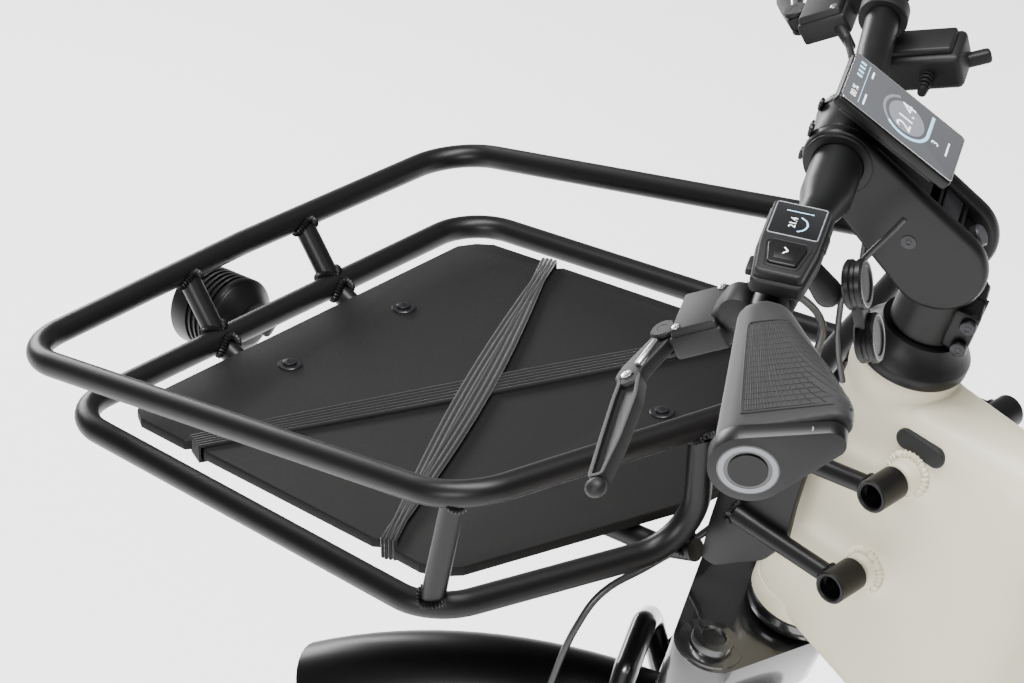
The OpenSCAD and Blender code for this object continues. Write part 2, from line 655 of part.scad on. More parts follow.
module shifter() color(satin_black) steered() difference() {
    union() {
        mirror([0, 1, 0]) {
            on_bar_at(136) cylinder(h = 14, d = 32);
            translate([60, 143, 336]) rotate([0, 30, 0]) cube([54, 36, 30], center = true);
        }
    }
    mirror([0, 1, 0]) on_bar_at(100) cylinder(h = 85, d = bar_end_d + 2 * run_gap);
}

// Hoses: ahead, left, above along the steering axis
hose_left = [[112, 150, 326], [104, 122, 322], [84, 92, 300], [62, 66, 268], [56, 50, 232], [50, 28, 180],
    [50, 4, 120], [56, -9, 70], [72, -5, 18], [100, 10, -20], [122, 28, -42], [129, 40, -64], [131, 52, -115],
    [128, 66, -190], [106, 90, -280], [56, 98, -350], [4, 88, -410], [-22, 64, -436]];
hose_right = [[112, -150, 326], [100, -118, 326], [78, -84, 304], [56, -52, 272], [48, -44, 240], [36, -44, 214]];
hose_display = [[40, 46, 348], [56, 56, 300], [52, 50, 262], [44, 46, 236], [34, 44, 214]];
module hoses() color("#111111") steered() {
    hose(hose_left, 5);
    hose(hose_right, 5);
    hose(hose_display, 4, 3);
}

// ---- Wheels: about an axle along Y ----
module spun() rotate([90, 0, 0]) rotate_extrude($fn = 96) children();
hub_end_d = 30;
module hub_shape(body_d, half, bore_d, flange_d, flange_y) difference() {
    union() {
        rotate([90, 0, 0]) cylinder(h = 2 * half, d = hub_end_d, center = true);
        rotate([90, 0, 0]) cylinder(h = 2 * flange_y, d = body_d, center = true);
        for (s = [-1, 1]) translate([0, s * flange_y, 0]) rotate([90, 0, 0]) cylinder(h = 4, d = flange_d, center = true);
    }
    rotate([90, 0, 0]) cylinder(h = 200, d = bore_d + 2 * run_gap, center = true);
}
module spokes(flange_d, flange_y) {
    step = 360 / spoke_count;
    for (k = [0 : spoke_count - 1]) {
        side = k % 2 == 0 ? 1 : -1;
        lean = floor(k / 2) % 2 == 0 ? 1 : -1;
        a = k * step + lean * 38;
        start_y = side * (flange_y + lean * 3.6);
        rod([cos(a) * flange_d / 2 * 0.9, start_y, sin(a) * flange_d / 2 * 0.9],
            [cos(k * step) * (rim_r - rim_h + 0.5), side * 3, sin(k * step) * (rim_r - rim_h + 0.5)], spoke_d);
    }
}
module rim() spun() difference() {
    translate([rim_r - rim_h, -rim_w / 2]) square([rim_h, rim_w]);
    translate([rim_r - rim_h + 3, -rim_w / 2 + 3]) square([rim_h - 6, rim_w - 6]);
}
module tyre() spun() difference() {
    translate([tyre_r - tyre_w / 2, 0]) circle(d = tyre_w);
    translate([tyre_r - tyre_w / 2, 0]) circle(d = tyre_w - 8);
    translate([0, -50]) square([rim_r, 100]);
}
module rotor(inner_d) rotate([90, 0, 0]) translate([0, 0, -rotor_t / 2]) linear_extrude(rotor_t) difference() {
    union() {
        difference() {
            circle(r = rotor_r);
            circle(r = rotor_r - 15);
        }
        circle(d = inner_d + 22);
        for (k = [0 : 5]) rotate(k * 60) translate([0, -5]) square([rotor_r - 6, 10]);
    }
    circle(d = inner_d + 2 * run_gap);
}

front_flange_d = 60;
front_flange_y = 28;
module front_hub() color(satin_black) at_front_axle() hub_shape(40, 49.5, 15, front_flange_d, front_flange_y);
module front_spokes() color(silver) at_front_axle() spokes(front_flange_d, front_flange_y);
module front_rim() color(satin_black) at_front_axle() rim();
module front_tyre() color("#191919") at_front_axle() tyre();
module front_rotor() color(silver) at_front_axle() translate([0, front_rotor_y, 0]) rotor(hub_end_d);

module at_rear_axle() bike() translate(rear_axle_at) children();
rear_flange_d = 110;
rear_flange_y = 30;
module rear_hub() color(satin_black) at_rear_axle()
    hub_shape(90, dropout_y - dropout_t / 2 - 1, rear_axle_d, rear_flange_d, rear_flange_y);
module rear_cog() color(silver) at_rear_axle() translate([0, -belt_y, 0]) rotate([90, 0, 0]) difference() {
    cylinder(h = 11, r = cog_r, center = true);
    cylinder(h = 20, d = hub_end_d + 2 * run_gap, center = true);
}
module rear_spokes() color(silver) at_rear_axle() spokes(rear_flange_d, rear_flange_y);
module rear_rim() color(satin_black) at_rear_axle() rim();
module rear_tyre() color("#191919") at_rear_axle() tyre();
module rear_rotor() color(silver) at_rear_axle() translate([0, rear_rotor_y, 0]) rotor(hub_end_d);

// ---- Drive ----
crank_y = 79;
pedal_axle_d = 14;
module crank_arm() difference() {
    flat_y(crank_y - 7, crank_y + 7) hull() {
        circle(d = 36);
        translate([crank_len, 0]) circle(d = 28);
    }
    translate([crank_len, crank_y + 20, 0]) rotate([90, 0, 0]) cylinder(h = 40, d = pedal_axle_d + 2 * run_gap);
}
module crankset() color(dark_grey) bike() translate(crank_at) {
    rotate([90, 0, 0]) cylinder(h = 2 * crank_y, d = spindle_d, center = true);
    mirror([0, 1, 0]) crank_arm();
    rotate([0, 0, 180]) mirror([0, 1, 0]) crank_arm();
    translate([0, -belt_y, 0]) rotate([90, 0, 0]) difference() {
        cylinder(h = 11, r = ring_r, center = true);
        for (k = [0 : 4]) rotate([0, 0, k * 72]) translate([42, 0, 0]) cylinder(h = 20, d = 34, center = true);
    }
}
module pedal_shape() {
    translate([0, crank_y - 7, 0]) rotate([-90, 0, 0]) cylinder(h = 110, d = pedal_axle_d);
    difference() {
        translate([-47, crank_y + 14, -12]) cube([94, 92, 24]);
        for (s = [-1, 1]) translate([s * 25 - 14, crank_y + 26, -20]) cube([28, 68, 40]);
    }
}
module pedal_left() color(satin_black) bike() translate(crank_at - [crank_len, 0, 0]) pedal_shape();
module pedal_right() color(satin_black) bike() translate(crank_at + [crank_len, 0, 0]) mirror([0, 1, 0]) pedal_shape();

module belt_outline(grow) hull() {
    translate([crank_x, crank_z]) circle(r = ring_r + grow);
    translate([rear_axle_x, tyre_r]) circle(r = cog_r + grow);
}
module belt() color("#151515") bike() flat_y(-belt_y - 5.5, -belt_y + 5.5) difference() {
    belt_outline(4 + gap);
    belt_outline(gap);
}

// ---- Stand, post and saddle ----
foot_x = stand_at.x + 12;
foot_y = 185;
module stand() color(satin_black) bike() {
    translate(stand_at + [0, 84, 0]) rotate([90, 0, 0]) cylinder(h = 168, d = stand_tube_d);
    both() {
        rod(stand_at + [0, 78, 0], [foot_x, foot_y, 7], 22);
        translate([foot_x, foot_y, 0]) cylinder(h = 12, d = 44);
        translate(stand_at + [0, 78, 0]) rotate([90, 0, 0]) cylinder(h = 22, d = 26, center = true);
    }
}

post_top = crank_at + ((saddle_h - 62 - crank_z) / sin(seat_angle)) * seat_dir;
module seatpost() color(satin_black) bike() {
    rod(seat_top - 170 * seat_dir, post_top, post_d);
    translate(post_top) rotate([90, 0, 0]) cylinder(h = 44, d = 34, center = true);
}
module saddle() color("#1b1b1c") bike() translate([post_top.x, 0, saddle_h]) {
    hull() {
        translate([-95, 0, -26]) scale([1, 1.75, 0.5]) sphere(r = 50, $fn = 20);
        translate([-20, 0, -25]) scale([1, 1, 0.5]) sphere(r = 46, $fn = 20);
        translate([120, 0, -26]) scale([1, 0.8, 0.6]) sphere(r = 26, $fn = 20);
    }
    both() bent_tube([[-110, 40, -42], [-60, 21.5, -62], [40, 21.5, -62], [105, 8, -38]], 20, 7, false, 8);
}

main_frame();
rear_frame();
head_cover();
head_ring();
frame_plug();
battery();
motor();
seat_clamp();
rear_fender();
rack_deck();
tail_light();
rear_calliper();
carrier_upper_rail();
carrier_lower_rail();
carrier_struts();
carrier_brackets();
carrier_deck();
carrier_fasteners();
straps();
headlight_body();
headlight_lens();
fork_upper();
stem_base();
stem_arm();
handlebar();
grip_left();
grip_right();
grip_clamps();
display();
remote();
remote_button();
brake_body_left();
brake_body_right();
brake_lever_left();
brake_lever_right();
switch_body();
switch_rocker();
shifter();
hoses();
fork_lowers();
front_fender();
front_calliper();
front_hub();
front_spokes();
front_rim();
front_tyre();
front_rotor();
rear_hub();
rear_cog();
rear_spokes();
rear_rim();
rear_tyre();
rear_rotor();
crankset();
pedal_left();
pedal_right();
belt();
stand();
seatpost();
saddle();
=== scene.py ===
# Longtail cargo bicycle with a front carrier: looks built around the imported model.
import json
import math
import bpy
import bmesh
from mathutils import Matrix, Vector
from mathutils.bvhtree import BVHTree


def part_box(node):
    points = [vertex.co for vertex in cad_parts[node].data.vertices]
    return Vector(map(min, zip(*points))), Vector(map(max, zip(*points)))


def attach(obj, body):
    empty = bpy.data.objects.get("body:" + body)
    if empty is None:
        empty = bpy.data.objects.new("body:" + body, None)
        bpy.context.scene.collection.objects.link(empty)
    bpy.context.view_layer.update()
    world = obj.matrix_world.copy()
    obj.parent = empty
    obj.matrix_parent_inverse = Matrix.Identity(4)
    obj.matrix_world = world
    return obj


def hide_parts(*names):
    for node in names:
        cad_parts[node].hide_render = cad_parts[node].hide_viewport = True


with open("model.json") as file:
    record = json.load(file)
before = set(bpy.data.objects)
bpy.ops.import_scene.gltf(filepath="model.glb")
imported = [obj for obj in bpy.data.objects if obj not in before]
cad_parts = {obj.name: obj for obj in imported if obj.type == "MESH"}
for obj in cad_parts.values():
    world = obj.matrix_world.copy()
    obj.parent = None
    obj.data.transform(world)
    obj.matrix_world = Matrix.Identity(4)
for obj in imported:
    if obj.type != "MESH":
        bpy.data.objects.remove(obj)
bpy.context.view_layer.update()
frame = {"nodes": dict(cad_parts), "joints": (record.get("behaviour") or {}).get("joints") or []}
nodes = frame["nodes"]
joints = {joint["name"]: joint for joint in frame["joints"]}
print("frame loaded:", len(nodes), "nodes")

# ---- places: each turns millimetres of its own axes into metres of the row frame ----
mm = 0.001


def placeAt(origin, forward, left, up):
    turn = Matrix((forward, left, up)).transposed().to_4x4()
    return Matrix.Translation(origin) @ turn @ Matrix.Scale(mm, 4)


steerAxis = Vector(joints["steer"]["axis"]).normalized()
wheelAxis = Vector(joints["front_wheel_spin"]["axis"]).normalized()
headLow = Vector(joints["steer"]["pos_m"]) - 100 * mm * steerAxis
across = Vector((0, 1, 0))
steered = placeAt(headLow, wheelAxis.cross(steerAxis), wheelAxis, steerAxis)
alongHead = placeAt(headLow, across.cross(steerAxis), across, steerAxis)


def upright(origin):
    return Matrix.Translation(origin) @ Matrix.Scale(mm, 4)


rearAxle = upright(joints["rear_wheel_spin"]["pos_m"])
crankAxle = upright(joints["crank_spin"]["pos_m"])
frontAxle = placeAt(joints["front_wheel_spin"]["pos_m"], wheelAxis.cross(steerAxis), wheelAxis, steerAxis)
midPlane = joints["rear_wheel_spin"]["pos_m"][1]
bike = upright((0, midPlane, 0))
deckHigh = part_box("carrier_deck")[1]
carrier = upright((deckHigh.x - 158 * mm, midPlane, deckHigh.z - 3 * mm))  # middle of the lower rail


def shift(x, y, z):
    return Matrix.Translation((x, y, z))


def turned(degrees, axis):
    return Matrix.Rotation(math.radians(degrees), 4, axis)


mirrored = Matrix.Scale(-1, 4, across)
sidePlane = turned(90, "X")  # lays an outline drawn in x and y on the x and z plane

# ---- shapes ----


def addPart(bm, part, place=None, edge=0, segments=2, limit=35):
    if edge:
        sharp = [e for e in part.edges if e.is_manifold and e.calc_face_angle() > math.radians(limit)]
        bmesh.ops.bevel(part, geom=sharp, offset=edge, offset_type="OFFSET", segments=segments,
                        affect="EDGES", profile=0.5, material=-1, clamp_overlap=True)
    if place is not None:
        bmesh.ops.transform(part, matrix=place, verts=part.verts)
    mesh = bpy.data.meshes.new("part")
    part.to_mesh(mesh)
    part.free()
    bm.from_mesh(mesh)
    bpy.data.meshes.remove(mesh)


def addBlock(bm, size, place=None, edge=0, segments=2, taper=1):
    part = bmesh.new()
    bmesh.ops.create_cube(part, size=1)
    bmesh.ops.scale(part, vec=size, verts=part.verts)
    top = [v for v in part.verts if v.co.z > 0]
    bmesh.ops.scale(part, vec=(taper, taper, 1), verts=top)
    addPart(bm, part, place, edge, segments)


def addRod(bm, a, b, radius, radius2=None, edge=0, sides=32, place=None):
    a, b = Vector(a), Vector(b)
    part = bmesh.new()
    bmesh.ops.create_cone(part, cap_ends=True, segments=sides, radius1=radius,
                          radius2=radius if radius2 is None else radius2, depth=(b - a).length)
    aim = Matrix.Translation((a + b) / 2) @ (b - a).to_track_quat("Z", "Y").to_matrix().to_4x4()
    addPart(bm, part, aim if place is None else place @ aim, edge, 2, 60)


def addSpun(bm, profile, place=None, sides=48, closed=False):
    # profile: distance from the z axis and height, all round it
    part = bmesh.new()
    verts = [part.verts.new((r, 0, h)) for r, h in profile]
    for a, b in zip(verts, verts[1:] + (verts[:1] if closed else [])):
        if a is not b:
            part.edges.new((a, b))
    bmesh.ops.spin(part, geom=part.verts[:] + part.edges[:], cent=(0, 0, 0), axis=(0, 0, 1),
                   angle=math.tau, steps=sides, use_merge=True, use_duplicate=False)
    bmesh.ops.remove_doubles(part, verts=part.verts, dist=0.001)
    bmesh.ops.recalc_face_normals(part, faces=part.faces)
    addPart(bm, part, place)


def addPlate(bm, outline, thickness, place=None, edge=0, segments=2, corner=0, recess=None):
    # outline in x and y, grown up along z; recess: how far in from the rim and how deep, on the top
    part = bmesh.new()
    part.faces.new([part.verts.new((x, y, 0)) for x, y in outline])
    if corner:
        bmesh.ops.bevel(part, geom=part.verts[:], offset=corner, segments=4, affect="VERTICES",
                        profile=0.5, material=-1, clamp_overlap=True)
    grown = bmesh.ops.extrude_face_region(part, geom=part.faces[:])
    top = [f for f in grown["geom"] if isinstance(f, bmesh.types.BMFace)]
    bmesh.ops.translate(part, vec=(0, 0, thickness),
                        verts=[v for v in grown["geom"] if isinstance(v, bmesh.types.BMVert)])
    if recess:
        bmesh.ops.inset_region(part, faces=top, thickness=recess[0], use_even_offset=True)
        sunk = bmesh.ops.extrude_face_region(part, geom=top)
        bmesh.ops.delete(part, geom=top, context="FACES_ONLY")
        bmesh.ops.translate(part, vec=(0, 0, -recess[1]),
                            verts=[v for v in sunk["geom"] if isinstance(v, bmesh.types.BMVert)])
    bmesh.ops.recalc_face_normals(part, faces=part.faces)
    addPart(bm, part, place, edge, segments)


def twoCircles(a, ra, b, rb, steps=16):
    # outline round two circles and the straight sides that touch both
    a, b = Vector(a), Vector(b)
    heading = math.atan2((b - a).y, (b - a).x)
    lean = math.acos((ra - rb) / (b - a).length)
    arcs = ((a, ra, heading + lean, heading + math.tau - lean), (b, rb, heading - lean, heading + lean))
    return [tuple(c + r * Vector((math.cos(s + (e - s) * k / steps), math.sin(s + (e - s) * k / steps))))
            for c, r, s, e in arcs for k in range(steps + 1)]


def bentPath(points, bend, closed=False, steps=8):
    points = [Vector(p) for p in points]
    path = []
    for i, corner in enumerate(points):
        if not closed and i in (0, len(points) - 1):
            path.append(corner)
            continue
        inward = (corner - points[i - 1]).normalized()
        outward = (points[(i + 1) % len(points)] - corner).normalized()
        turn = inward.angle(outward)
        start = corner - inward * bend * math.tan(turn / 2)
        centre = corner + (outward - inward).normalized() * bend / math.cos(turn / 2)
        axis = inward.cross(outward)
        path += [centre + Matrix.Rotation(turn * k / steps, 3, axis) @ (start - centre)
                 for k in range(steps + 1)]
    return path


def addTube(bm, path, radius, closed=False, sides=20, place=None, radii=None, smooth=False, oval=None):
    # a curve gives the tube; smooth draws it through the points with automatic handles
    curve = bpy.data.curves.new("tube", "CURVE")
    curve.dimensions = "3D"
    curve.bevel_depth = radius
    curve.bevel_resolution = (sides - 4) // 2
    curve.use_fill_caps = not closed
    curve.resolution_u = 6
    spline = curve.splines.new("BEZIER" if smooth else "POLY")
    points = spline.bezier_points if smooth else spline.points
    points.add(len(path) - 1)
    for i, (point, where) in enumerate(zip(points, path)):
        point.co = Vector(where) if smooth else (*where, 1)
        point.radius = 1 if radii is None else radii[i]
        if smooth:
            point.handle_left_type = point.handle_right_type = "AUTO"
    spline.use_cyclic_u = closed
    holder = bpy.data.objects.new("tube", curve)
    mesh = bpy.data.meshes.new_from_object(holder)
    if oval is not None:
        mesh.transform(oval)
    if place is not None:
        mesh.transform(place)
    bm.from_mesh(mesh)
    bpy.data.meshes.remove(mesh)
    bpy.data.objects.remove(holder)
    bpy.data.curves.remove(curve)


def addBall(bm, radius, place, detail=3, size=(1, 1, 1)):
    part = bmesh.new()
    bmesh.ops.create_icosphere(part, subdivisions=detail, radius=radius)
    bmesh.ops.scale(part, vec=size, verts=part.verts)
    addPart(bm, part, place)


def addHull(bm, parts, place=None, edge=0):
    # parts: a bmesh whose points are wrapped in one convex skin
    bmesh.ops.delete(parts, geom=parts.edges[:], context="EDGES_FACES")
    skin = bmesh.ops.convex_hull(parts, input=parts.verts[:], use_existing_faces=False)
    inner = [v for v in skin["geom_interior"] + skin["geom_unused"] if isinstance(v, bmesh.types.BMVert)]
    bmesh.ops.delete(parts, geom=list(set(inner)), context="VERTS")
    bmesh.ops.recalc_face_normals(parts, faces=parts.faces)
    addPart(bm, parts, place, edge)


def addText(bm, words, size, place, depth=0.15):
    text = bpy.data.curves.new("text", "FONT")
    text.body = words
    text.size = size
    text.extrude = depth
    text.align_x = "CENTER"
    text.align_y = "CENTER"
    holder = bpy.data.objects.new("text", text)
    bpy.context.scene.collection.objects.link(holder)
    bpy.context.view_layer.update()
    mesh = bpy.data.meshes.new_from_object(holder.evaluated_get(bpy.context.evaluated_depsgraph_get()))
    mesh.transform(place)
    bm.from_mesh(mesh)
    bpy.data.meshes.remove(mesh)
    bpy.data.objects.remove(holder)
    bpy.data.curves.remove(text)


def addBead(bm, middle, axis, tubeRadius, railAxis, railRadius, width=2.6, ripple=0.22, turns=30):
    # a weld bead where a tube of tubeRadius along axis meets a rail through middle
    middle, axis, railAxis = Vector(middle), Vector(axis).normalized(), Vector(railAxis).normalized()
    along = (railAxis - railAxis.dot(axis) * axis).normalized()
    side = axis.cross(along)
    path, radii = [], []
    for k in range(turns * 2):
        angle = math.pi * k / turns
        offSide = min(tubeRadius * abs(math.sin(angle)), railRadius * 0.94)
        reach = math.sqrt(railRadius ** 2 - offSide ** 2)
        path.append(middle + axis * reach + tubeRadius * (along * math.cos(angle) + side * math.sin(angle)))
        radii.append(1 + (ripple if k % 2 else -ripple))
    addTube(bm, path, width, closed=True, sides=8, radii=radii)


def finishPiece(name, bm, place, body, material, replaces=(), smooth=35, keepOpen=False):
    if not keepOpen:
        bmesh.ops.recalc_face_normals(bm, faces=bm.faces)
    bmesh.ops.transform(bm, matrix=place, verts=bm.verts)
    if place.determinant() < 0:
        bmesh.ops.reverse_faces(bm, faces=bm.faces)
    mesh = bpy.data.meshes.new(name)
    bm.to_mesh(mesh)
    bm.free()
    mesh.materials.append(material)
    mesh.shade_smooth()
    mesh.set_sharp_from_angle(angle=math.radians(smooth))
    piece = bpy.data.objects.new(name, mesh)
    bpy.context.scene.collection.objects.link(piece)
    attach(piece, body)
    if replaces:
        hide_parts(*replaces)
    return piece


def remeshed(bm, voxel, rounds, factor=0.5):
    # joins overlapping shapes into one skin and blends their corners
    mesh = bpy.data.meshes.new("blend")
    bm.to_mesh(mesh)
    bm.free()
    holder = bpy.data.objects.new("blend", mesh)
    bpy.context.scene.collection.objects.link(holder)
    skin = holder.modifiers.new("skin", "REMESH")
    skin.mode = "VOXEL"
    skin.voxel_size = voxel
    blend = holder.modifiers.new("blend", "SMOOTH")
    blend.factor = factor
    blend.iterations = rounds
    bpy.context.view_layer.update()
    done = bpy.data.meshes.new_from_object(holder.evaluated_get(bpy.context.evaluated_depsgraph_get()))
    bpy.data.objects.remove(holder)
    result = bmesh.new()
    result.from_mesh(done)
    bpy.data.meshes.remove(done)
    return result


# ---- materials ----


def hexColour(code):
    channels = [int(code[i:i + 2], 16) / 255 for i in (1, 3, 5)]
    return (*[c / 12.92 if c <= 0.04045 else ((c + 0.055) / 1.055) ** 2.4 for c in channels], 1)


def addNode(tree, kind, settings=None, links=None):
    node = tree.nodes.new(kind)
    for key, value in (settings or {}).items():
        if isinstance(key, str) and key[0].islower():
            setattr(node, key, value)
        else:
            node.inputs[key].default_value = value
    for key, source in (links or {}).items():
        tree.links.new(source, node.inputs[key])
    return node


def perMetre(size):
    return 1 / (size * mm)


def surface(name, look):
    # base of every finish: a fine grain that lifts the surface and moves the roughness, and a slow change
    # of colour
    material = bpy.data.materials.new(name)
    material.use_nodes = True
    tree = material.node_tree
    shader = tree.nodes["Principled BSDF"]
    where = addNode(tree, "ShaderNodeTexCoord").outputs["Object"]
    grain = addNode(tree, "ShaderNodeTexNoise",
                    {"Scale": perMetre(look["grain"]), "Detail": 3.0, "Roughness": 0.6}, {"Vector": where})
    patch = addNode(tree, "ShaderNodeTexNoise", {"Scale": perMetre(look.get("patch", 60)), "Detail": 2.0},
                    {"Vector": where})
    colour = addNode(tree, "ShaderNodeMix", {"data_type": "RGBA", 6: hexColour(look["colour"]),
                                             7: hexColour(look["second"])}, {0: patch.outputs["Fac"]})
    spread = look.get("spread", 0.06)
    rough = addNode(tree, "ShaderNodeMapRange", {"To Min": look["roughness"] - spread,
                                                 "To Max": look["roughness"] + spread},
                    {"Value": grain.outputs["Fac"]})
    lift = addNode(tree, "ShaderNodeBump",
                   {"Strength": look.get("strength", 0.3), "Distance": look["depth"] * mm},
                   {"Height": grain.outputs["Fac"]})
    tree.links.new(colour.outputs[2], shader.inputs["Base Color"])
    tree.links.new(rough.outputs["Result"], shader.inputs["Roughness"])
    tree.links.new(lift.outputs["Normal"], shader.inputs["Normal"])
    for key, value in look.get("shader", {}).items():
        shader.inputs[key].default_value = value
    return material


# powder-coated aluminium, cream: a dry, even colour with a faint orange peel and soft broad light
creamPowderCoat = surface("powder-coated aluminium, cream", {
    "colour": "#c6c0a9", "second": "#bfb9a1", "grain": 1.6, "depth": 0.12, "roughness": 0.46, "spread": 0.05,
    "shader": {"IOR": 1.5}})
# powder-coated steel, satin black: warm black tubes with a long soft streak of light
satinPowderCoat = surface("powder-coated steel, satin black", {
    "colour": "#0c0a0b", "second": "#090808", "grain": 1.0, "depth": 0.07, "roughness": 0.4, "spread": 0.05,
    "shader": {"Specular IOR Level": 0.22, "IOR": 1.5}})
# bead-blasted anodised aluminium: neutral dark metal whose edges catch a pale blurred light
blastedAluminium = surface("bead-blasted anodised aluminium, black", {
    "colour": "#101011", "second": "#0c0c0d", "grain": 0.7, "depth": 0.05, "roughness": 0.42, "spread": 0.05,
    "shader": {"Metallic": 0.55}})
# stove-enamelled magnesium, gloss black: deep black under a clear coat with sharp window-like lights
glossEnamel = surface("stove-enamelled magnesium, gloss black", {
    "colour": "#08080a", "second": "#060607", "grain": 3.0, "depth": 0.05, "roughness": 0.3, "spread": 0.04,
    "shader": {"Coat Weight": 1.0, "Coat Roughness": 0.07, "IOR": 1.5}})
# moulded glass-filled nylon: dull charcoal with a fine spark-eroded texture
mouldedNylon = surface("moulded glass-filled nylon, charcoal", {
    "colour": "#121213", "second": "#0e0e0f", "grain": 0.8, "depth": 0.14, "roughness": 0.52, "spread": 0.08,
    "shader": {"Specular IOR Level": 0.22, "IOR": 1.52}})
# moulded ABS, black: smoother than the nylon, with a soft sheen on its rounded edges
mouldedAbs = surface("moulded ABS, black", {
    "colour": "#09090a", "second": "#070708", "grain": 0.9, "depth": 0.06, "roughness": 0.36, "spread": 0.05,
    "shader": {"Specular IOR Level": 0.22, "IOR": 1.52}})
# acrylic cover glass over a dark border
coverGlass = surface("acrylic cover glass, black border", {
    "colour": "#0c0d0f", "second": "#0b0b0d", "grain": 5.0, "depth": 0.01, "roughness": 0.12, "spread": 0.02,
    "shader": {"IOR": 1.49, "Coat Weight": 0.6, "Coat Roughness": 0.04}})
# liquid-crystal panel: an even mid grey in daylight, a painted reflection of the bright surroundings in the
# dark glass
panelPaintedReflection = surface("liquid-crystal panel, painted reflection", {
    "colour": "#4c4d50", "second": "#47494c", "grain": 4.0, "depth": 0.01, "roughness": 0.22, "spread": 0.02,
    "shader": {"IOR": 1.49, "Coat Weight": 0.5, "Coat Roughness": 0.05}})
# sulphur-cured rubber, black: chalky and almost without shine
tyreRubber = surface("cured rubber, black", {
    "colour": "#202021", "second": "#191919", "grain": 1.1, "depth": 0.16, "roughness": 0.72, "spread": 0.08,
    "shader": {"Specular IOR Level": 0.22, "IOR": 1.52}})
# soft thermoplastic rubber: grey-black, matte, a hint of dust
softRubber = surface("soft thermoplastic rubber, dark grey", {
    "colour": "#161617", "second": "#121213", "grain": 0.7, "depth": 0.1, "roughness": 0.58, "spread": 0.06,
    "shader": {"Specular IOR Level": 0.22, "IOR": 1.5, "Sheen Weight": 0.15, "Sheen Roughness": 0.5}})
# polyurethane hose sheath: smooth black with a tight light along it
hoseSheath = surface("polyurethane hose sheath, black", {
    "colour": "#161617", "second": "#131314", "grain": 1.5, "depth": 0.03, "roughness": 0.34, "spread": 0.04,
    "shader": {"IOR": 1.5}})
# turned stainless steel: bright grey screws and rods
stainlessSteel = surface("turned stainless steel", {
    "colour": "#c4c4c6", "second": "#b3b3b6", "grain": 0.6, "depth": 0.03, "roughness": 0.27, "spread": 0.06,
    "shader": {"Metallic": 1.0}})
# black-oxide steel: screws with a dark oily metal shine
oxideSteel = surface("black-oxide steel", {
    "colour": "#38383a", "second": "#2c2c2e", "grain": 0.6, "depth": 0.03, "roughness": 0.36, "spread": 0.06,
    "shader": {"Metallic": 0.85}})
# forged and anodised aluminium, dark grey
forgedAluminium = surface("forged anodised aluminium, dark grey", {
    "colour": "#3b3b3e", "second": "#333336", "grain": 0.9, "depth": 0.05, "roughness": 0.36, "spread": 0.05,
    "shader": {"Metallic": 0.7}})
# polycarbonate lenses
clearLens = surface("clear polycarbonate lens", {
    "colour": "#e6edf2", "second": "#dfe7ec", "grain": 5.0, "depth": 0.02, "roughness": 0.1, "spread": 0.02,
    "shader": {"IOR": 1.58, "Transmission Weight": 0.6}})
redLens = surface("red polycarbonate lens", {
    "colour": "#a4161a", "second": "#8e1216", "grain": 3.0, "depth": 0.05, "roughness": 0.18, "spread": 0.03,
    "shader": {"IOR": 1.58, "Coat Weight": 0.5}})
# pad-printed ink on screens and caps; the white and the light blue also carry a painted glow, an emission
# although they are no lamp
whiteInkPaintedGlow = surface("screen-printed ink, white, painted glow", {
    "colour": "#f2f5f7", "second": "#e9edf0", "grain": 2.0, "depth": 0.01, "roughness": 0.4, "spread": 0.02,
    "shader": {"Emission Color": hexColour("#f2f5f7"), "Emission Strength": 0.35}})
# light blue screen segments with a painted glow: emission on marks that are no lamp
blueSegmentPaintedGlow = surface("screen segment, light blue, painted glow", {
    "colour": "#9fd0e6", "second": "#93c6de", "grain": 2.0, "depth": 0.01, "roughness": 0.4, "spread": 0.02,
    "shader": {"Emission Color": hexColour("#8fc4dd"), "Emission Strength": 0.25}})
greyInk = surface("pad-printed ink, grey", {
    "colour": "#77797e", "second": "#6f7176", "grain": 2.0, "depth": 0.01, "roughness": 0.45,
    "spread": 0.02})
print("materials made")

nodeFinish = {
    creamPowderCoat: ["main_frame", "rear_frame"],
    satinPowderCoat: ["head_cover", "seat_clamp", "rack_deck", "carrier_upper_rail", "carrier_lower_rail",
                      "carrier_struts", "carrier_brackets", "carrier_deck", "stand", "rear_calliper",
                      "front_calliper"],
    blastedAluminium: ["stem_base", "stem_arm", "handlebar", "front_hub", "rear_hub", "front_rim",
                       "rear_rim", "seatpost", "head_ring"],
    glossEnamel: ["fork_upper", "fork_lowers"],
    mouldedNylon: ["remote", "remote_button", "brake_body_left", "brake_body_right", "switch_body",
                   "shifter", "pedal_left", "pedal_right", "motor"],
    mouldedAbs: ["battery", "headlight_body", "front_fender", "rear_fender", "display", "switch_rocker",
                 "grip_clamps", "brake_lever_left", "brake_lever_right"],
    softRubber: ["frame_plug", "grip_left", "grip_right", "saddle", "straps", "belt"],
    tyreRubber: ["front_tyre", "rear_tyre"],
    hoseSheath: ["hoses"],
    forgedAluminium: ["crankset", "rear_cog"],
    stainlessSteel: ["front_rotor", "rear_rotor"],
    oxideSteel: ["carrier_fasteners", "front_spokes", "rear_spokes"],
    redLens: ["tail_light"],
    clearLens: ["headlight_lens"],
}
for material, names in nodeFinish.items():
    for name in names:
        nodes[name].data.materials.clear()
        nodes[name].data.materials.append(material)

# ---- camera, floor and light ----
view = {"from": (-829, 1681, 2082), "to": (730, -94, 868), "lens": 130.5}
camera = bpy.data.objects.new("camera", bpy.data.cameras.new("camera"))
camera.data.lens = view["lens"]
camera.data.sensor_width = 36
camera.data.clip_end = 50
camera.location = Vector(view["from"]) * mm
camera.rotation_euler = (Vector(view["to"]) - Vector(view["from"])).to_track_quat("-Z", "Y").to_euler()
bpy.context.scene.collection.objects.link(camera)
bpy.context.scene.camera = camera

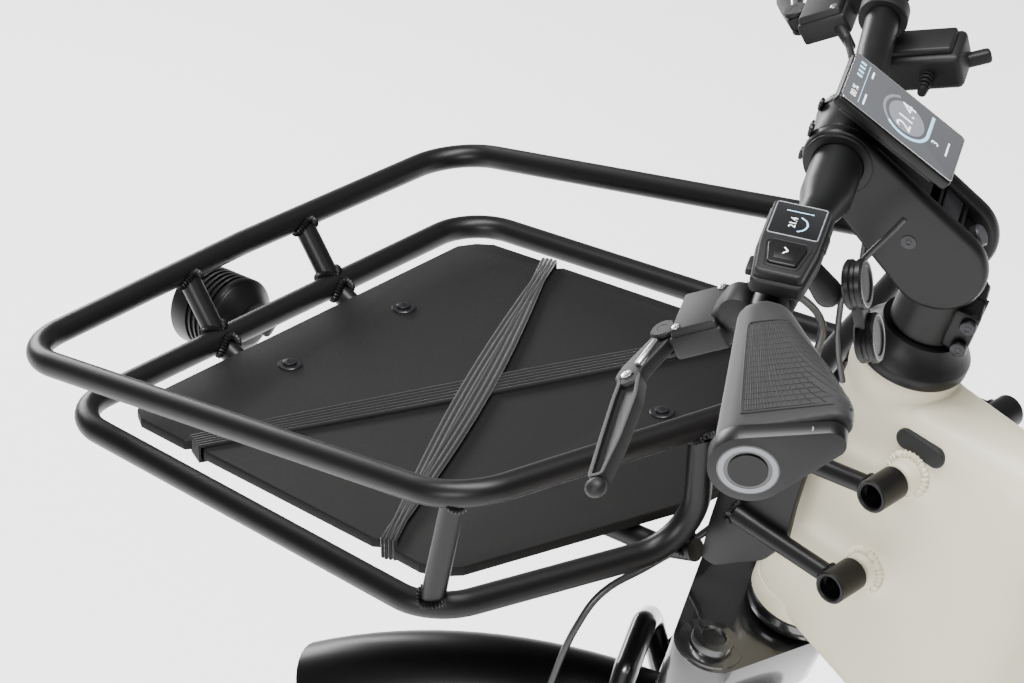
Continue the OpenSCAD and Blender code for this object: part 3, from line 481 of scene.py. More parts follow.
# painted studio floor: almost white, without a shine
studioFloor = surface("matt emulsion floor, pale", {
    "colour": "#f6f6f6", "second": "#f4f4f4", "grain": 8.0, "depth": 0.02, "roughness": 0.9, "spread": 0.02,
    "shader": {"Emission Color": hexColour("#f6f6f6"), "Emission Strength": 1.5}})
floorMesh = bmesh.new()
bmesh.ops.create_grid(floorMesh, x_segments=1, y_segments=1, size=14)
floor = bpy.data.objects.new("floor", bpy.data.meshes.new("floor"))
floorMesh.to_mesh(floor.data)
floorMesh.free()
floor.data.materials.append(studioFloor)
bpy.context.scene.collection.objects.link(floor)

world = bpy.data.worlds.new("studio")
world.use_nodes = True
world.node_tree.nodes["Background"].inputs["Color"].default_value = hexColour("#f7f7f8")
world.node_tree.nodes["Background"].inputs["Strength"].default_value = 0.38
bpy.context.scene.world = world
softboxes = [
    {"name": "overheadSoftbox", "at": (0.4, 0.3, 3.6), "size": (2.4, 0.9), "power": 230},
    {"name": "leftSoftbox", "at": (-0.6, 3.4, 2.2), "size": (1.8, 0.9), "power": 130},
    {"name": "frontSoftbox", "at": (3.8, -1.2, 1.8), "size": (1.6, 0.9), "power": 90},
]
for box in softboxes:
    lamp = bpy.data.lights.new(box["name"], "AREA")
    lamp.shape = "RECTANGLE"
    lamp.size, lamp.size_y = box["size"]
    lamp.energy = box["power"]
    softbox = bpy.data.objects.new(box["name"], lamp)
    softbox.location = box["at"]
    softbox.rotation_euler = (Vector((0.4, 0, 0.7)) - Vector(box["at"])).to_track_quat("-Z", "Y").to_euler()
    bpy.context.scene.collection.objects.link(softbox)
print("camera, floor and light placed")

# ---- front carrier ----
rack = {"rail": 9, "strut": 8, "arm": 6.5, "bend": 45, "bow": 6, "strutSide": 60,
        "upperFront": (217, 228, 44), "upperRear": (-219, 252, 98), "upperBack": (-290, 0, 98),
        "lowerFront": (186, 212, 0), "lowerRear": (-186, 241, 0), "lowerBack": (-255, 59, 0)}


def otherSide(points):
    return [(x, -y, z) for x, y, z in points]


def makeCarrierRails():
    upper = [rack["upperBack"], rack["upperRear"], rack["upperFront"],
             (rack["upperFront"][0] + rack["bow"], 0, rack["upperFront"][2])]
    bm = bmesh.new()
    addTube(bm, bentPath(upper + otherSide(upper[2:0:-1]), rack["bend"], closed=True, steps=12),
            rack["rail"], closed=True, sides=28)
    finishPiece("carrierUpperRail", bm, carrier, "frame", satinPowderCoat,
                ["carrier_upper_rail"])
    riser = Vector(rack["upperRear"]).lerp(Vector(rack["upperBack"]), 0.71)
    riser -= Vector((0, 0, rack["rail"] - 2))
    half = [tuple(riser), rack["lowerBack"], rack["lowerRear"], rack["lowerFront"]]
    bm = bmesh.new()
    addTube(bm, bentPath(half + otherSide(half[::-1]), 40, steps=12), rack["rail"], sides=28)
    for side in (1, -1):
        addBead(bm, (riser.x, side * riser.y, riser.z + rack["rail"] - 2), (0.04, 0, -1), rack["rail"],
                Vector((-71, -252 * side, 0)), rack["rail"])
    finishPiece("carrierLowerRail", bm, carrier, "frame", satinPowderCoat,
                ["carrier_lower_rail"])


def makeCarrierStruts():
    bm = bmesh.new()
    upF, loF, upR, loR = (rack[k] for k in ("upperFront", "lowerFront", "upperRear", "lowerRear"))
    for side in (1, -1):
        y = side * rack["strutSide"]
        a, b = Vector((upF[0] + 4, y, upF[2])), Vector((loF[0] + 3, y, 0))
        addRod(bm, a, b, rack["strut"])
        addBead(bm, a, b - a, rack["strut"], across, rack["rail"], 2.8)
        addBead(bm, b, a - b, rack["strut"], across, rack["rail"], 2.8)
        a = Vector((upR[0] + 10, side * (upR[1] - 10), upR[2]))
        b = Vector((loR[0] + 7, side * (loR[1] - 8), 0))
        addRod(bm, a, b, rack["strut"])
        addBead(bm, a, b - a, rack["strut"], Vector((1, -0.3 * side, 0)), rack["rail"], 2.8)
        addBead(bm, b, a - b, rack["strut"], Vector((1, -0.3 * side, 0)), rack["rail"], 2.8)
        support = [(loF[0] - 4, y, -5), (loF[0] - 26, y, -15), (rack["lowerBack"][0] + 35, y, -15),
                   (rack["lowerBack"][0] - 2, y, -6)]
        addTube(bm, bentPath(support, 20), rack["strut"])
        addBead(bm, (loF[0], y, 0), (-0.85, 0, -0.5), rack["strut"], across, rack["rail"], 3.0)
        addBead(bm, (rack["lowerBack"][0], y, 0), (0.9, 0, -0.4), rack["strut"], across, rack["rail"], 3.0)
    addRod(bm, (loF[0] + 3, 0, -3), (loF[0] + 14, 0, -20), 5)
    addRod(bm, (loF[0] + 12, 0, -20), (211.5, 0, -20), 5)
    finishPiece("carrierStruts", bm, carrier, "frame", satinPowderCoat, ["carrier_struts"])


bracket = {"outline": [(-262, -8), (-273, -11), (-314, 9), (-330, 27), (-336, 56), (-345, 88), (-345, 96),
                       (-296, 90), (-280, 60), (-268, 20)],
           "lowArm": ((-290, 65, 38), (-377, 65, 19)), "highArm": ((-296, 65, 97), (-405, 65, 96)),
           "inner": 50}


def makeBrackets():
    bm = bmesh.new()
    for side in (Matrix.Identity(4), mirrored):
        addPlate(bm, bracket["outline"], 6, side @ shift(0, 62, 0) @ sidePlane, edge=1.4, corner=5)
        for (a, b) in (bracket["lowArm"], bracket["highArm"]):
            a, b = Vector(a), Vector(b)
            addRod(bm, a, b + (a - b).normalized() * 6, rack["arm"], place=side)
            sleeve = side @ shift(b.x, bracket["inner"], b.z) @ turned(-90, "X")
            addSpun(bm, [(0, 6), (7.4, 6), (8, 6.6), (8, 25), (9, 26), (10.2, 26), (11, 25), (11, 1),
                         (10, 0), (0, 0)],
                    sleeve)
            joint = bmesh.new()
            addBead(joint, b, a - b, rack["arm"], across, 11, 1.8)
            addBead(joint, b.lerp(a, 0.97), a - b, rack["arm"] + 0.4, across, 3, 1.8)
            addPart(bm, joint, side)
    finishPiece("carrierBrackets", bm, carrier, "frame", satinPowderCoat,
                ["carrier_brackets"])


def makeScrewHead(bm, place, radius, height, drive):
    # flat button head with a six-sided socket
    part = bmesh.new()
    bmesh.ops.create_circle(part, cap_ends=True, segments=36, radius=radius)
    grown = bmesh.ops.extrude_face_region(part, geom=part.faces[:])
    bmesh.ops.translate(part, vec=(0, 0, height),
                        verts=[v for v in grown["geom"] if isinstance(v, bmesh.types.BMVert)])
    bmesh.ops.recalc_face_normals(part, faces=part.faces)
    addPart(bm, part, place, edge=height * 0.35)
    socket = bmesh.new()
    bmesh.ops.create_cone(socket, cap_ends=False, segments=6, radius1=drive, radius2=drive, depth=0.5)
    bmesh.ops.solidify(socket, geom=socket.faces[:], thickness=0.6)
    addPart(bm, socket, place @ shift(0, 0, height + 0.1))


deck = {"top": 3, "thick": 8,
        "half": [(158, 0), (158, 165), (150, 178), (138, 186), (92, 189), (88, 184), (76, 185),
                 (72, 190), (-96, 200), (-102, 196), (-114, 197), (-118, 202), (-142, 204),
                 (-156, 198), (-166, 188), (-224, 20), (-226, 0)],
        "screws": [(116, 60), (-130, 60), (116, -60), (-130, -60)]}
# film-faced birch plywood: a matt black phenolic film with a fine mesh print and faint brown undertone
filmPlywood = surface("film-faced birch plywood, black", {
    "colour": "#0c0b0a", "second": "#090808", "grain": 1.3, "depth": 0.16, "roughness": 0.66, "spread": 0.12,
    "patch": 25, "strength": 0.6, "shader": {"IOR": 1.45, "Specular IOR Level": 0.2}})


def makeDeck():
    bm = bmesh.new()
    outline = deck["half"] + [(x, -y) for x, y in deck["half"][-2:0:-1]]
    addPlate(bm, outline, deck["thick"], shift(0, 0, deck["top"] - deck["thick"]), edge=1.5, segments=3)
    finishPiece("carrierDeck", bm, carrier, "frame", filmPlywood, ["carrier_deck"],
                smooth=25)
    bm = bmesh.new()
    for x, y in deck["screws"]:
        place = shift(x, y, deck["top"])
        addSpun(bm, [(0, 0), (9, 0), (9, 0.7), (8.4, 1.3), (6.2, 1.5), (5.9, 1.5), (0, 1.5)], place)
        makeScrewHead(bm, place @ shift(0, 0, 1.5), 5.2, 1.6, 2.1)
    for x, z in ((-377, 17), (-405, 96)):
        for side in (Matrix.Identity(4), mirrored):
            makeScrewHead(bm, side @ shift(x, 56, z) @ turned(-90, "X"), 6.4, 6.5, 3)
    finishPiece("carrierScrews", bm, carrier, "frame", oxideSteel,
                ["carrier_fasteners"])


# woven elastic webbing: rubber cores under a black polyester cover, so fine ribs run along the band
wovenElastic = surface("woven elastic webbing, black", {
    "colour": "#100f10", "second": "#0c0b0c", "grain": 0.8, "depth": 0.2, "roughness": 0.78, "spread": 0.08,
    "shader": {"Specular IOR Level": 0.22, "Sheen Weight": 0.3, "Sheen Roughness": 0.4}})
band = {"ribs": 6, "thick": 1.8, "bands": [
    # near end, far end, widths at the ends and the middle, sideways shift of the middle, height above the
    # deck
    {"a": (82, 184), "b": (-108, -196), "ends": 19, "middle": 25, "sway": 0, "lift": 0.3},
    {"a": (84, -184), "b": (-108, 197), "ends": 9, "middle": 13, "sway": 7.5, "lift": 2.6},
    {"a": (80, -184), "b": (-111, 197), "ends": 9, "middle": 12, "sway": -6.5, "lift": 2.7}]}


def makeStraps():
    bm = bmesh.new()
    for strip in band["bands"]:
        a, b = Vector((*strip["a"], 0)), Vector((*strip["b"], 0))
        along = (b - a).normalized()
        side = Vector((-along.y, along.x, 0))
        ribs = band["ribs"] if strip["ends"] > 12 else band["ribs"] // 2
        low, top = deck["top"] - deck["thick"] - 2, deck["top"] + strip["lift"] + 1
        for rib in range(ribs):
            spot = (rib + 0.5) / ribs - 0.5
            path = [a - along * 16 + Vector((0, 0, low)) + side * spot * strip["ends"],
                    a + Vector((0, 0, low)) - along * 2.4 + side * spot * strip["ends"]]
            path.append(a - along * 2.6 + Vector((0, 0, top)) + side * spot * strip["ends"])
            for k in range(1, 12):
                swell = math.sin(math.pi * k / 12)
                width = strip["ends"] + (strip["middle"] - strip["ends"]) * swell
                sway = side * (spot * width + strip["sway"] * swell)
                path.append(a.lerp(b, k / 12) + sway + Vector((0, 0, top)))
            path.append(b + along * 2.6 + Vector((0, 0, top)) + side * spot * strip["ends"])
            path.append(b + along * 2.4 + Vector((0, 0, low)) + side * spot * strip["ends"])
            path[0] = a + along * 14 + Vector((0, 0, low)) + side * spot * strip["ends"]
            path.append(b - along * 14 + Vector((0, 0, low)) + side * spot * strip["ends"])
            atEnds = [strip["ends"] / ribs / 2.3] * 3
            growth = strip["middle"] - strip["ends"]
            between = [(strip["ends"] + growth * math.sin(math.pi * k / 12)) / ribs / 2.3
                       for k in range(1, 12)]
            addTube(bm, path, 1.15, sides=8, radii=atEnds + between + atEnds)
    finishPiece("deckStraps", bm, carrier, "frame", wovenElastic, ["straps"], smooth=60)


lamp = {"at": (255, 0, -20), "radius": 31, "ribs": 5}


def makeHeadlight():
    place = shift(*lamp["at"]) @ turned(90, "Y")
    bm = bmesh.new()
    profile = [(0, -42), (15, -42), (17, -41), (24, -34), (29.6, -30), (31, -28)]
    for rib in range(lamp["ribs"]):
        z = -22 + rib * 5
        profile += [(31, z - 1.6), (29.4, z - 1.2), (29.4, z + 1.2), (31, z + 1.6)]
    profile += [(31, 14), (30, 16), (27.4, 16), (27, 15), (0, 15)]
    addSpun(bm, profile, place, sides=64)
    finishPiece("headlightShell", bm, carrier, "headlight", mouldedAbs, ["headlight_body"])
    bm = bmesh.new()
    addSpun(bm, [(0, 15.2), (27, 15.2), (27, 17), (25, 19.4), (18, 21.2), (9, 21.9), (0, 22)], place,
            sides=48)
    finishPiece("headlightLens", bm, carrier, "headlight", clearLens, ["headlight_lens"])


makeCarrierRails()
makeCarrierStruts()
makeBrackets()
makeDeck()
makeStraps()
makeHeadlight()
print("front carrier made")

# ---- frame ----
headAt = bike.inverted() @ headLow
steerUp = (bike.inverted().to_3x3() @ steerAxis).normalized()
crankAt = bike.inverted() @ Vector(joints["crank_spin"]["pos_m"])
seatUp = Vector(joints["saddle_height"]["axis"]).normalized()
seatTop = crankAt + 470 * seatUp
tubes = {"headLength": 221, "seat": 19, "neckTop": headAt + Vector((-175, 0, 138)),
         "neckLow": headAt + Vector((-130, 0, -40)), "downLow": crankAt + Vector((52, 0, 102)),
         "topLow": crankAt + 420 * seatUp}
bosses = [(353, 866), (325, 945)]  # where the carrier's arms are bolted on


def ballsAndDiscs(balls, discs=()):
    part = bmesh.new()
    for centre, radius in balls:
        bmesh.ops.create_uvsphere(part, u_segments=32, v_segments=16, radius=radius,
                                  matrix=Matrix.Translation(centre))
    for a, b, radius in discs:
        aim = Matrix.Translation((a + b) / 2) @ (b - a).to_track_quat("Z", "Y").to_matrix().to_4x4()
        bmesh.ops.create_cone(part, cap_ends=True, segments=48, radius1=radius, radius2=radius,
                              depth=(b - a).length, matrix=aim)
    return part


def makeMainFrame():
    bm = bmesh.new()
    head = (headAt + 8 * steerUp, headAt + 200 * steerUp)
    addHull(bm, ballsAndDiscs([(tubes["neckTop"], 32), (tubes["neckLow"], 42)], [(*head, 32)]))
    addHull(bm, ballsAndDiscs([(tubes["neckLow"], 42), (tubes["downLow"], 39)]))
    addHull(bm, ballsAndDiscs([(tubes["neckTop"], 30), (tubes["topLow"], 22)]))
    addRod(bm, headAt + 1 * steerUp, headAt + 220 * steerUp, 33.5, sides=64)
    addRod(bm, crankAt + 95 * seatUp, seatTop, tubes["seat"])
    shell = ballsAndDiscs([], [(Vector((x, -44, z)), Vector((x, 44, z)), r) for x, z, r in
                               ((crankAt.x + 50, crankAt.z + 95, 36), (crankAt.x - 48, crankAt.z + 75, 34),
                                (crankAt.x - 82, crankAt.z + 26, 16))])
    addHull(bm, shell)
    for x, z in bosses:
        addRod(bm, (x, -49.6, z), (x, 49.6, z), 12)
    skin = remeshed(bm, 4.0, 9)
    finishPiece("mainFrame", skin, bike, "frame", creamPowderCoat, ["main_frame"], smooth=60)
    bm = bmesh.new()
    addSpun(bm, [(33, 190), (33.4, 196), (34.6, 201), (35.4, 205), (35.6, 214), (35.2, 219), (34, 220.8),
                 (30, 220.8), (30, 190)], sides=96, closed=True)
    addSpun(bm, [(30, 0.4), (33.6, 0.4), (34.4, 1.4), (34.6, 8), (33.6, 14), (30, 16)], sides=96,
            closed=True)
    finishPiece("headTubeCollars", bm, alongHead, "frame", creamPowderCoat)
    bm = bmesh.new()
    for x, z in bosses:
        for side in (1, -1):
            hit, spot = nearSkin(x + 14, z, side)
            reach = side * spot.y - 0.8 if hit else 44
            path, radii = [], []
            for k in range(60):
                angle = math.tau * k / 60
                hit, spot = nearSkin(x + 13.4 * math.cos(angle), z + 13.4 * math.sin(angle), side)
                y = spot.y if hit and side * spot.y > 20 else side * reach
                path.append((x + 13.2 * math.cos(angle), y, z + 13.2 * math.sin(angle)))
                radii.append(1.25 if k % 2 else 0.8)
            addTube(bm, path, 2.6, closed=True, sides=8, radii=radii)
    finishPiece("bossWelds", bm, bike, "frame", creamPowderCoat)


def nearSkin(x, z, side):
    # where a line along y meets the finished frame, in millimetres
    start = bike @ Vector((x, side * 120, z))
    skin = bpy.data.objects["mainFrame"]
    hit, spot = skin.ray_cast(start, Vector((0, -side, 0)))[:2]
    return hit, bike.inverted() @ spot


plug = {"at": (headAt.x - 112, 27, headAt.z + 164), "half": 11.5, "radius": 7, "tilt": -14}
cover = [(0, 0.2), (36, 0.2), (37.4, 2.4), (37.5, 8), (36.6, 9.6), (33.5, 13.5), (30, 18.5), (28, 23),
         (27, 25.6), (25.4, 26), (0, 26)]


def makeHeadset():
    bm = bmesh.new()
    addPlate(bm, twoCircles((-plug["half"], 0), plug["radius"], (plug["half"], 0.001),
                            plug["radius"] - 0.001), 8,
             shift(*plug["at"]) @ turned(-90, "X") @ turned(plug["tilt"], "Z"), edge=1.8, segments=3)
    finishPiece("framePlug", bm, bike, "frame", softRubber, ["frame_plug"])
    bm = bmesh.new()
    addSpun(bm, [(r, h + tubes["headLength"]) for r, h in cover], sides=96)
    finishPiece("headCover", bm, alongHead, "frame", satinPowderCoat, ["head_cover"],
                smooth=50)
    bm = bmesh.new()
    addSpun(bm, [(20, -12.2), (31, -12.2), (33.4, -11), (34, -8), (33, -7.2), (33, -6.2), (34, -5.4),
                 (34, -1), (33, -0.2), (20, -0.2)], sides=96, closed=True)
    addBlock(bm, (7, 10, 9), turned(150, "Z") @ shift(31.4, 0, -6), edge=1)
    finishPiece("headRing", bm, alongHead, "frame", glossEnamel, ["head_ring"])


makeMainFrame()
makeHeadset()
print("frame made")

# ---- stem and bar ----
pivot, bar = Vector((8, 0, 306)), Vector((89, 0, 352))
stem = {"width": 50, "rear": 31, "front": 23, "lug": 26}


def makeStem():
    bm = bmesh.new()
    addSpun(bm, [(0, 247.6), (22, 247.6), (23, 248.8), (23, 282.6), (22, 284), (0, 284)], sides=64)
    lug = twoCircles((8, 306), 20, (0, 274), 20.001)
    addPlate(bm, lug, stem["lug"], shift(0, 13, 0) @ sidePlane, edge=1)
    addBlock(bm, (18, 40, 31), shift(-21, 0, 265), edge=3, segments=3)
    addBlock(bm, (19, 1.6, 32), shift(-21.6, 0, 265))
    finishPiece("stemBase", bm, steered, "steering", blastedAluminium, ["stem_base"])
    bm = bmesh.new()
    for h in (255, 273):
        for side in (Matrix.Identity(4), mirrored):
            makeScrewHead(bm, side @ shift(-24, 20, h) @ turned(-90, "X"), 5.5, 5, 2.6)
    for side in (Matrix.Identity(4), mirrored):
        bolt = side @ shift(pivot.x, 23.6, pivot.z) @ turned(-90, "X")
        addSpun(bm, [(4.6, -6), (4.6, -1.2), (5.4, 0), (7.2, 0), (8, -1), (8, -8), (4.6, -8)], bolt,
                closed=True)
        addSpun(bm, [(0, -6), (4.7, -6), (4.7, -7), (0, -7)], bolt)
        makeScrewHead(bm, side @ shift(31, 24.6, 318) @ turned(-90, "X"), 5, 0.9, 2.3)
    finishPiece("stemBolts", bm, steered, "steering", oxideSteel)

    bm = bmesh.new()
    cheeks = twoCircles((pivot.x, pivot.z), stem["rear"], (bar.x, bar.z), stem["front"], 24)
    wall = 11.5
    for side in (1, -1):
        addPlate(bm, cheeks, wall, shift(0, 25 if side > 0 else -25 + wall, 0) @ sidePlane, edge=4.5,
                 segments=5)
    ahead = twoCircles((pivot.x + 24, pivot.z + 13.6), stem["rear"] - 2.4, (bar.x, bar.z),
                       stem["front"] - 0.6, 24)
    addPlate(bm, [(max(x, 30), z) for x, z in ahead], 30, shift(0, 15, 0) @ sidePlane, edge=0.6)
    for side in (Matrix.Identity(4), mirrored):
        addSpun(bm, [(15.9, -3), (21.4, -3), (21.6, 1), (20.8, 1.8), (16.4, 1.8), (15.9, 1.2)],
                side @ shift(bar.x, 24.6, bar.z) @ turned(-90, "X"), sides=64, closed=True)
    finishPiece("stemArm", bm, steered, "steering", blastedAluminium, ["stem_arm"], smooth=40)
    bm = bmesh.new()
    roof = turned(-29.6, "Y")
    addBlock(bm, (15, 27, 5), shift(15, 0, 334.5) @ roof, edge=1.2, segments=3)
    addSpun(bm, [(0, 6), (6, 6), (7, 5), (7, 0)], shift(-6, 0, 322) @ turned(-40, "Y"))
    finishPiece("stemPad", bm, steered, "steering", forgedAluminium)
    bm = bmesh.new()
    addBlock(bm, (2.4, 27.4, 6), shift(6.2, 0, 330) @ roof, edge=0.3)
    addBlock(bm, (2.4, 27.4, 6), shift(24.4, 0, 339.6) @ roof, edge=0.3)
    addBlock(bm, (16, 29.4, 3), shift(15, 0, 333.6) @ roof)
    for up in (-9, 9):
        for side in (15, -15):
            makeScrewHead(bm, shift(bar.x + 21.4, side, bar.z + up) @ turned(90, "Y"), 4.2, 2.6, 2)
    finishPiece("stemSeams", bm, steered, "steering", mouldedAbs)


barIn, barBend, barTip = Vector((91, 84, 354)), Vector((98, 190, 357)), Vector((77, 330, 357))


def onBar(y):
    # place on the left half of the bar: x forward, y down, z out along the bar
    heading = (barBend - barIn if y < barBend.y else barTip - barBend).normalized()
    spot = barBend + heading * (y - barBend.y) / heading.y
    yaw = math.atan2(heading.y, heading.x) - math.pi / 2
    return (Matrix.Translation(spot) @ Matrix.Rotation(yaw, 4, "Z")
            @ Matrix.Rotation(math.asin(heading.z) - math.pi / 2, 4, "X"))


def makeBar():
    half = [Vector((89, 0, 352)), Vector((89, 62, 352)), Vector((90, 78, 353))]
    bend = bentPath([Vector((90, 78, 353)), barIn + Vector((1, 12, 0.4)), barBend, barTip], 60)
    path = half + bend[1:]
    radii = [15.9, 15.9, 11.8] + [11.1] * (len(bend) - 1)
    both = [Vector((p.x, -p.y, p.z)) for p in path[:0:-1]] + path
    bm = bmesh.new()
    addTube(bm, both, 1, sides=32, radii=radii[:0:-1] + radii)
    finishPiece("handlebar", bm, steered, "steering", blastedAluminium, ["handlebar"])


makeStem()
makeBar()
print("stem and bar made")

# ---- display and remote ----
display = {"at": (63, 0, 385), "tilt": 20, "long": 88, "wide": 50, "speed": "21.4"}
dial = {"radius": 17, "band": 2.3, "at": (0, -2)}


def addBand(bm, path, width, place):
    addTube(bm, path, width / 2, sides=8, place=place, oval=Matrix.Diagonal((1, 1, 0.12, 1)))


def arcPoints(radius, start, end, at, steps=24):
    return [(at[0] + radius * math.cos(math.radians(start + (end - start) * k / steps)),
             at[1] + radius * math.sin(math.radians(start + (end - start) * k / steps)), 0)
            for k in range(steps + 1)]


def makeDisplay():
    place = shift(*display["at"]) @ turned(-display["tilt"], "Y")
    bm = bmesh.new()
    addBlock(bm, (display["long"], display["wide"], 8.6), place @ shift(0, 0, -4.7), edge=2.6, segments=4)
    addBlock(bm, (72, 40, 4.5), place @ shift(0, 0, -11), edge=1.5, taper=1)
    addBlock(bm, (20, 12, 10), place @ shift(8, 0, -17), edge=1)
    finishPiece("displayCase", bm, steered, "steering", mouldedAbs, ["display"])
    bm = bmesh.new()
    outer = [(-42.6, -23.6), (42.6, -23.6), (42.6, 23.6), (-42.6, 23.6)]
    addPlate(bm, outer, 0.7, place @ shift(0, 0, -0.45), edge=0.25, corner=2)
    finishPiece("displayPanel", bm, steered, "steering", panelPaintedReflection)
    # a thin bright steel line round the panel: a painted highlight standing in for the glint on the glass
    # edge
    bm = bmesh.new()
    rim = [(x * 1.006, y * 1.012, 0) for x, y in outer]
    addTube(bm, bentPath(rim, 2.2, closed=True), 0.45, closed=True, sides=8,
            place=place @ shift(0, 0, -0.05))
    finishPiece("displayGlintLine", bm, steered, "steering", stainlessSteel)
    page = place @ shift(0, 0, 0.3) @ turned(-90, "Z")  # text reads from the saddle: up is forward
    bm = bmesh.new()
    addText(bm, display["speed"], 15, page @ shift(1, -2, 0))
    addText(bm, "80 %", 6, page @ shift(-12, 36, 0))
    addText(bm, "3", 7.5, page @ shift(-2, -25, 0))
    for x, y, length in ((14, 28, 7), (-13, 28, 11), (1, -34, 14)):
        addBand(bm, [(x - length / 2, y, 0), (x + length / 2, y, 0)], 1.2, page)
    finishPiece("displayFigures", bm, steered, "steering", whiteInkPaintedGlow, smooth=20)
    bm = bmesh.new()
    at = dial["at"]
    sweep = arcPoints(dial["radius"], 140, 275, at) + [(8, at[1] - dial["radius"], 0),
                                                       (20, at[1] - dial["radius"], 0)]
    addBand(bm, sweep, dial["band"], page)
    addBand(bm, [(-20, 31.5, 0), (20, 31.5, 0)], 0.5, page)
    for k in range(4):
        addBand(bm, [(5 + 4.4 * k, 34.4, 0), (5 + 4.4 * k, 38.4, 0)], 2.4, page)
    finishPiece("displayArc", bm, steered, "steering", blueSegmentPaintedGlow)
    bm = bmesh.new()
    addBand(bm, arcPoints(dial["radius"], 140, 30, at), dial["band"] * 0.9, page)
    addSpun(bm, [(0, 0), (13.5, 0), (13.5, 0.1), (0, 0.1)], page @ shift(at[0], at[1], -0.06))
    finishPiece("displayDial", bm, steered, "steering", greyInk)


remote = {"mid": 160, "tilt": 12,
          "outline": [(-19, -37), (19, -37), (19, 6), (15.5, 37), (-15.5, 37), (-19, 6)]}


def makeRemote():
    seat = onBar(remote["mid"]).translation + Vector((3, 0, 24))
    place = Matrix.Translation(seat) @ turned(remote["tilt"], "Y")
    bm = bmesh.new()
    addPlate(bm, remote["outline"], 10, place @ shift(0, 0, -9), edge=2, segments=3, corner=3)
    addPlate(bm, [(x * 0.9, y * 0.955) for x, y in remote["outline"]], 8, place @ shift(0, 0, -1), edge=1.6,
             segments=3, corner=3)
    addPlate(bm, [(-11.5, 3), (11.5, 3), (14, 8), (10, 30), (-10, 30), (-14, 8)], 1.2,
             place @ shift(0, 0, 6.4), edge=0.5, corner=2.5, recess=(1.3, 1))
    addSpun(bm, [(11.3, 0), (14.6, 0), (15.2, 0.8), (15.2, 13.2), (14.6, 14), (11.3, 14)],
            onBar(remote["mid"] - 10), closed=True)
    addBlock(bm, (4, 14, 5), place @ shift(-18.2, -12, -2), edge=1.2)
    addBlock(bm, (4, 14, 5), place @ shift(18.2, 20, -3), edge=1.2)
    finishPiece("remoteCase", bm, steered, "steering", mouldedNylon, ["remote"])
    bm = bmesh.new()
    addPlate(bm, [(-14.5, -33), (14.5, -33), (14.5, -2), (-14.5, -2)], 0.6, place @ shift(0, 0, 6.8),
             edge=0.2, corner=1)
    finishPiece("remoteScreen", bm, steered, "steering", coverGlass)
    bm = bmesh.new()
    rim = [(-14.8, -33.3, 0), (14.8, -33.3, 0), (14.8, -1.7, 0), (-14.8, -1.7, 0)]
    addTube(bm, bentPath(rim, 1.4, closed=True), 0.4, closed=True, sides=8, place=place @ shift(0, 0, 7.2))
    finishPiece("remoteBezel", bm, steered, "steering", greyInk)
    page = place @ shift(0, 0, 7.5) @ turned(-90, "Z")
    bm = bmesh.new()
    addText(bm, display["speed"], 6, page @ shift(15, 2, 0))
    finishPiece("remoteFigures", bm, steered, "steering", whiteInkPaintedGlow, smooth=20)
    bm = bmesh.new()
    addBand(bm, arcPoints(7.5, 200, 340, (14, 1)), 1.0, page)
    addBand(bm, [(26, -8, 0), (26, 8, 0)], 0.8, page)
    finishPiece("remoteArc", bm, steered, "steering", blueSegmentPaintedGlow)
    bm = bmesh.new()
    key = [(-9.4, 5.4), (9.4, 5.4), (11.6, 9), (8.4, 27.4), (-8.4, 27.4), (-11.6, 9)]
    addPlate(bm, key, 2.6, place @ shift(0, 0, 6), edge=0.9, segments=3, corner=1.6)
    addPlate(bm, [(x * 0.66, 15.5 + (y - 16.4) * 0.66) for x, y in key], 0.5, place @ shift(0, 0, 8.2),
             edge=0.2)
    finishPiece("remoteKey", bm, steered, "remote_key", mouldedAbs, ["remote_button"])
    bm = bmesh.new()
    addBand(bm, [(-3, 13.4, 0), (0, 10.8, 0)], 0.9,
            place @ shift(0, 0, 8.8) @ turned(-90, "Z") @ shift(-15, -12, 0))
    addBand(bm, [(0, 10.8, 0), (3, 13.4, 0)], 0.9,
            place @ shift(0, 0, 8.8) @ turned(-90, "Z") @ shift(-15, -12, 0))
    finishPiece("remoteArrow", bm, steered, "remote_key", whiteInkPaintedGlow)


# ---- grips ----
grip = {"start": 202, "end": 318, "small": 16.5, "large": 20}
# soft rubber with a moulded panel of small squares, 2.6 mm apart, drawn a little coarse so that they show
griddedRubber = surface("soft thermoplastic rubber, gridded panel", {
    "colour": "#0f0f10", "second": "#0b0b0c", "grain": 0.8, "depth": 0.08, "roughness": 0.6, "spread": 0.05,
    "shader": {"Specular IOR Level": 0.22, "IOR": 1.5, "Sheen Weight": 0.12, "Sheen Roughness": 0.5}})


def gripLine(y, about, out):
    # a point on the grip's skin: y along the bar, about in degrees from up towards the rider
    return onBar(y) @ Vector((-out * math.sin(math.radians(about)), -out * math.cos(math.radians(about)), 0))


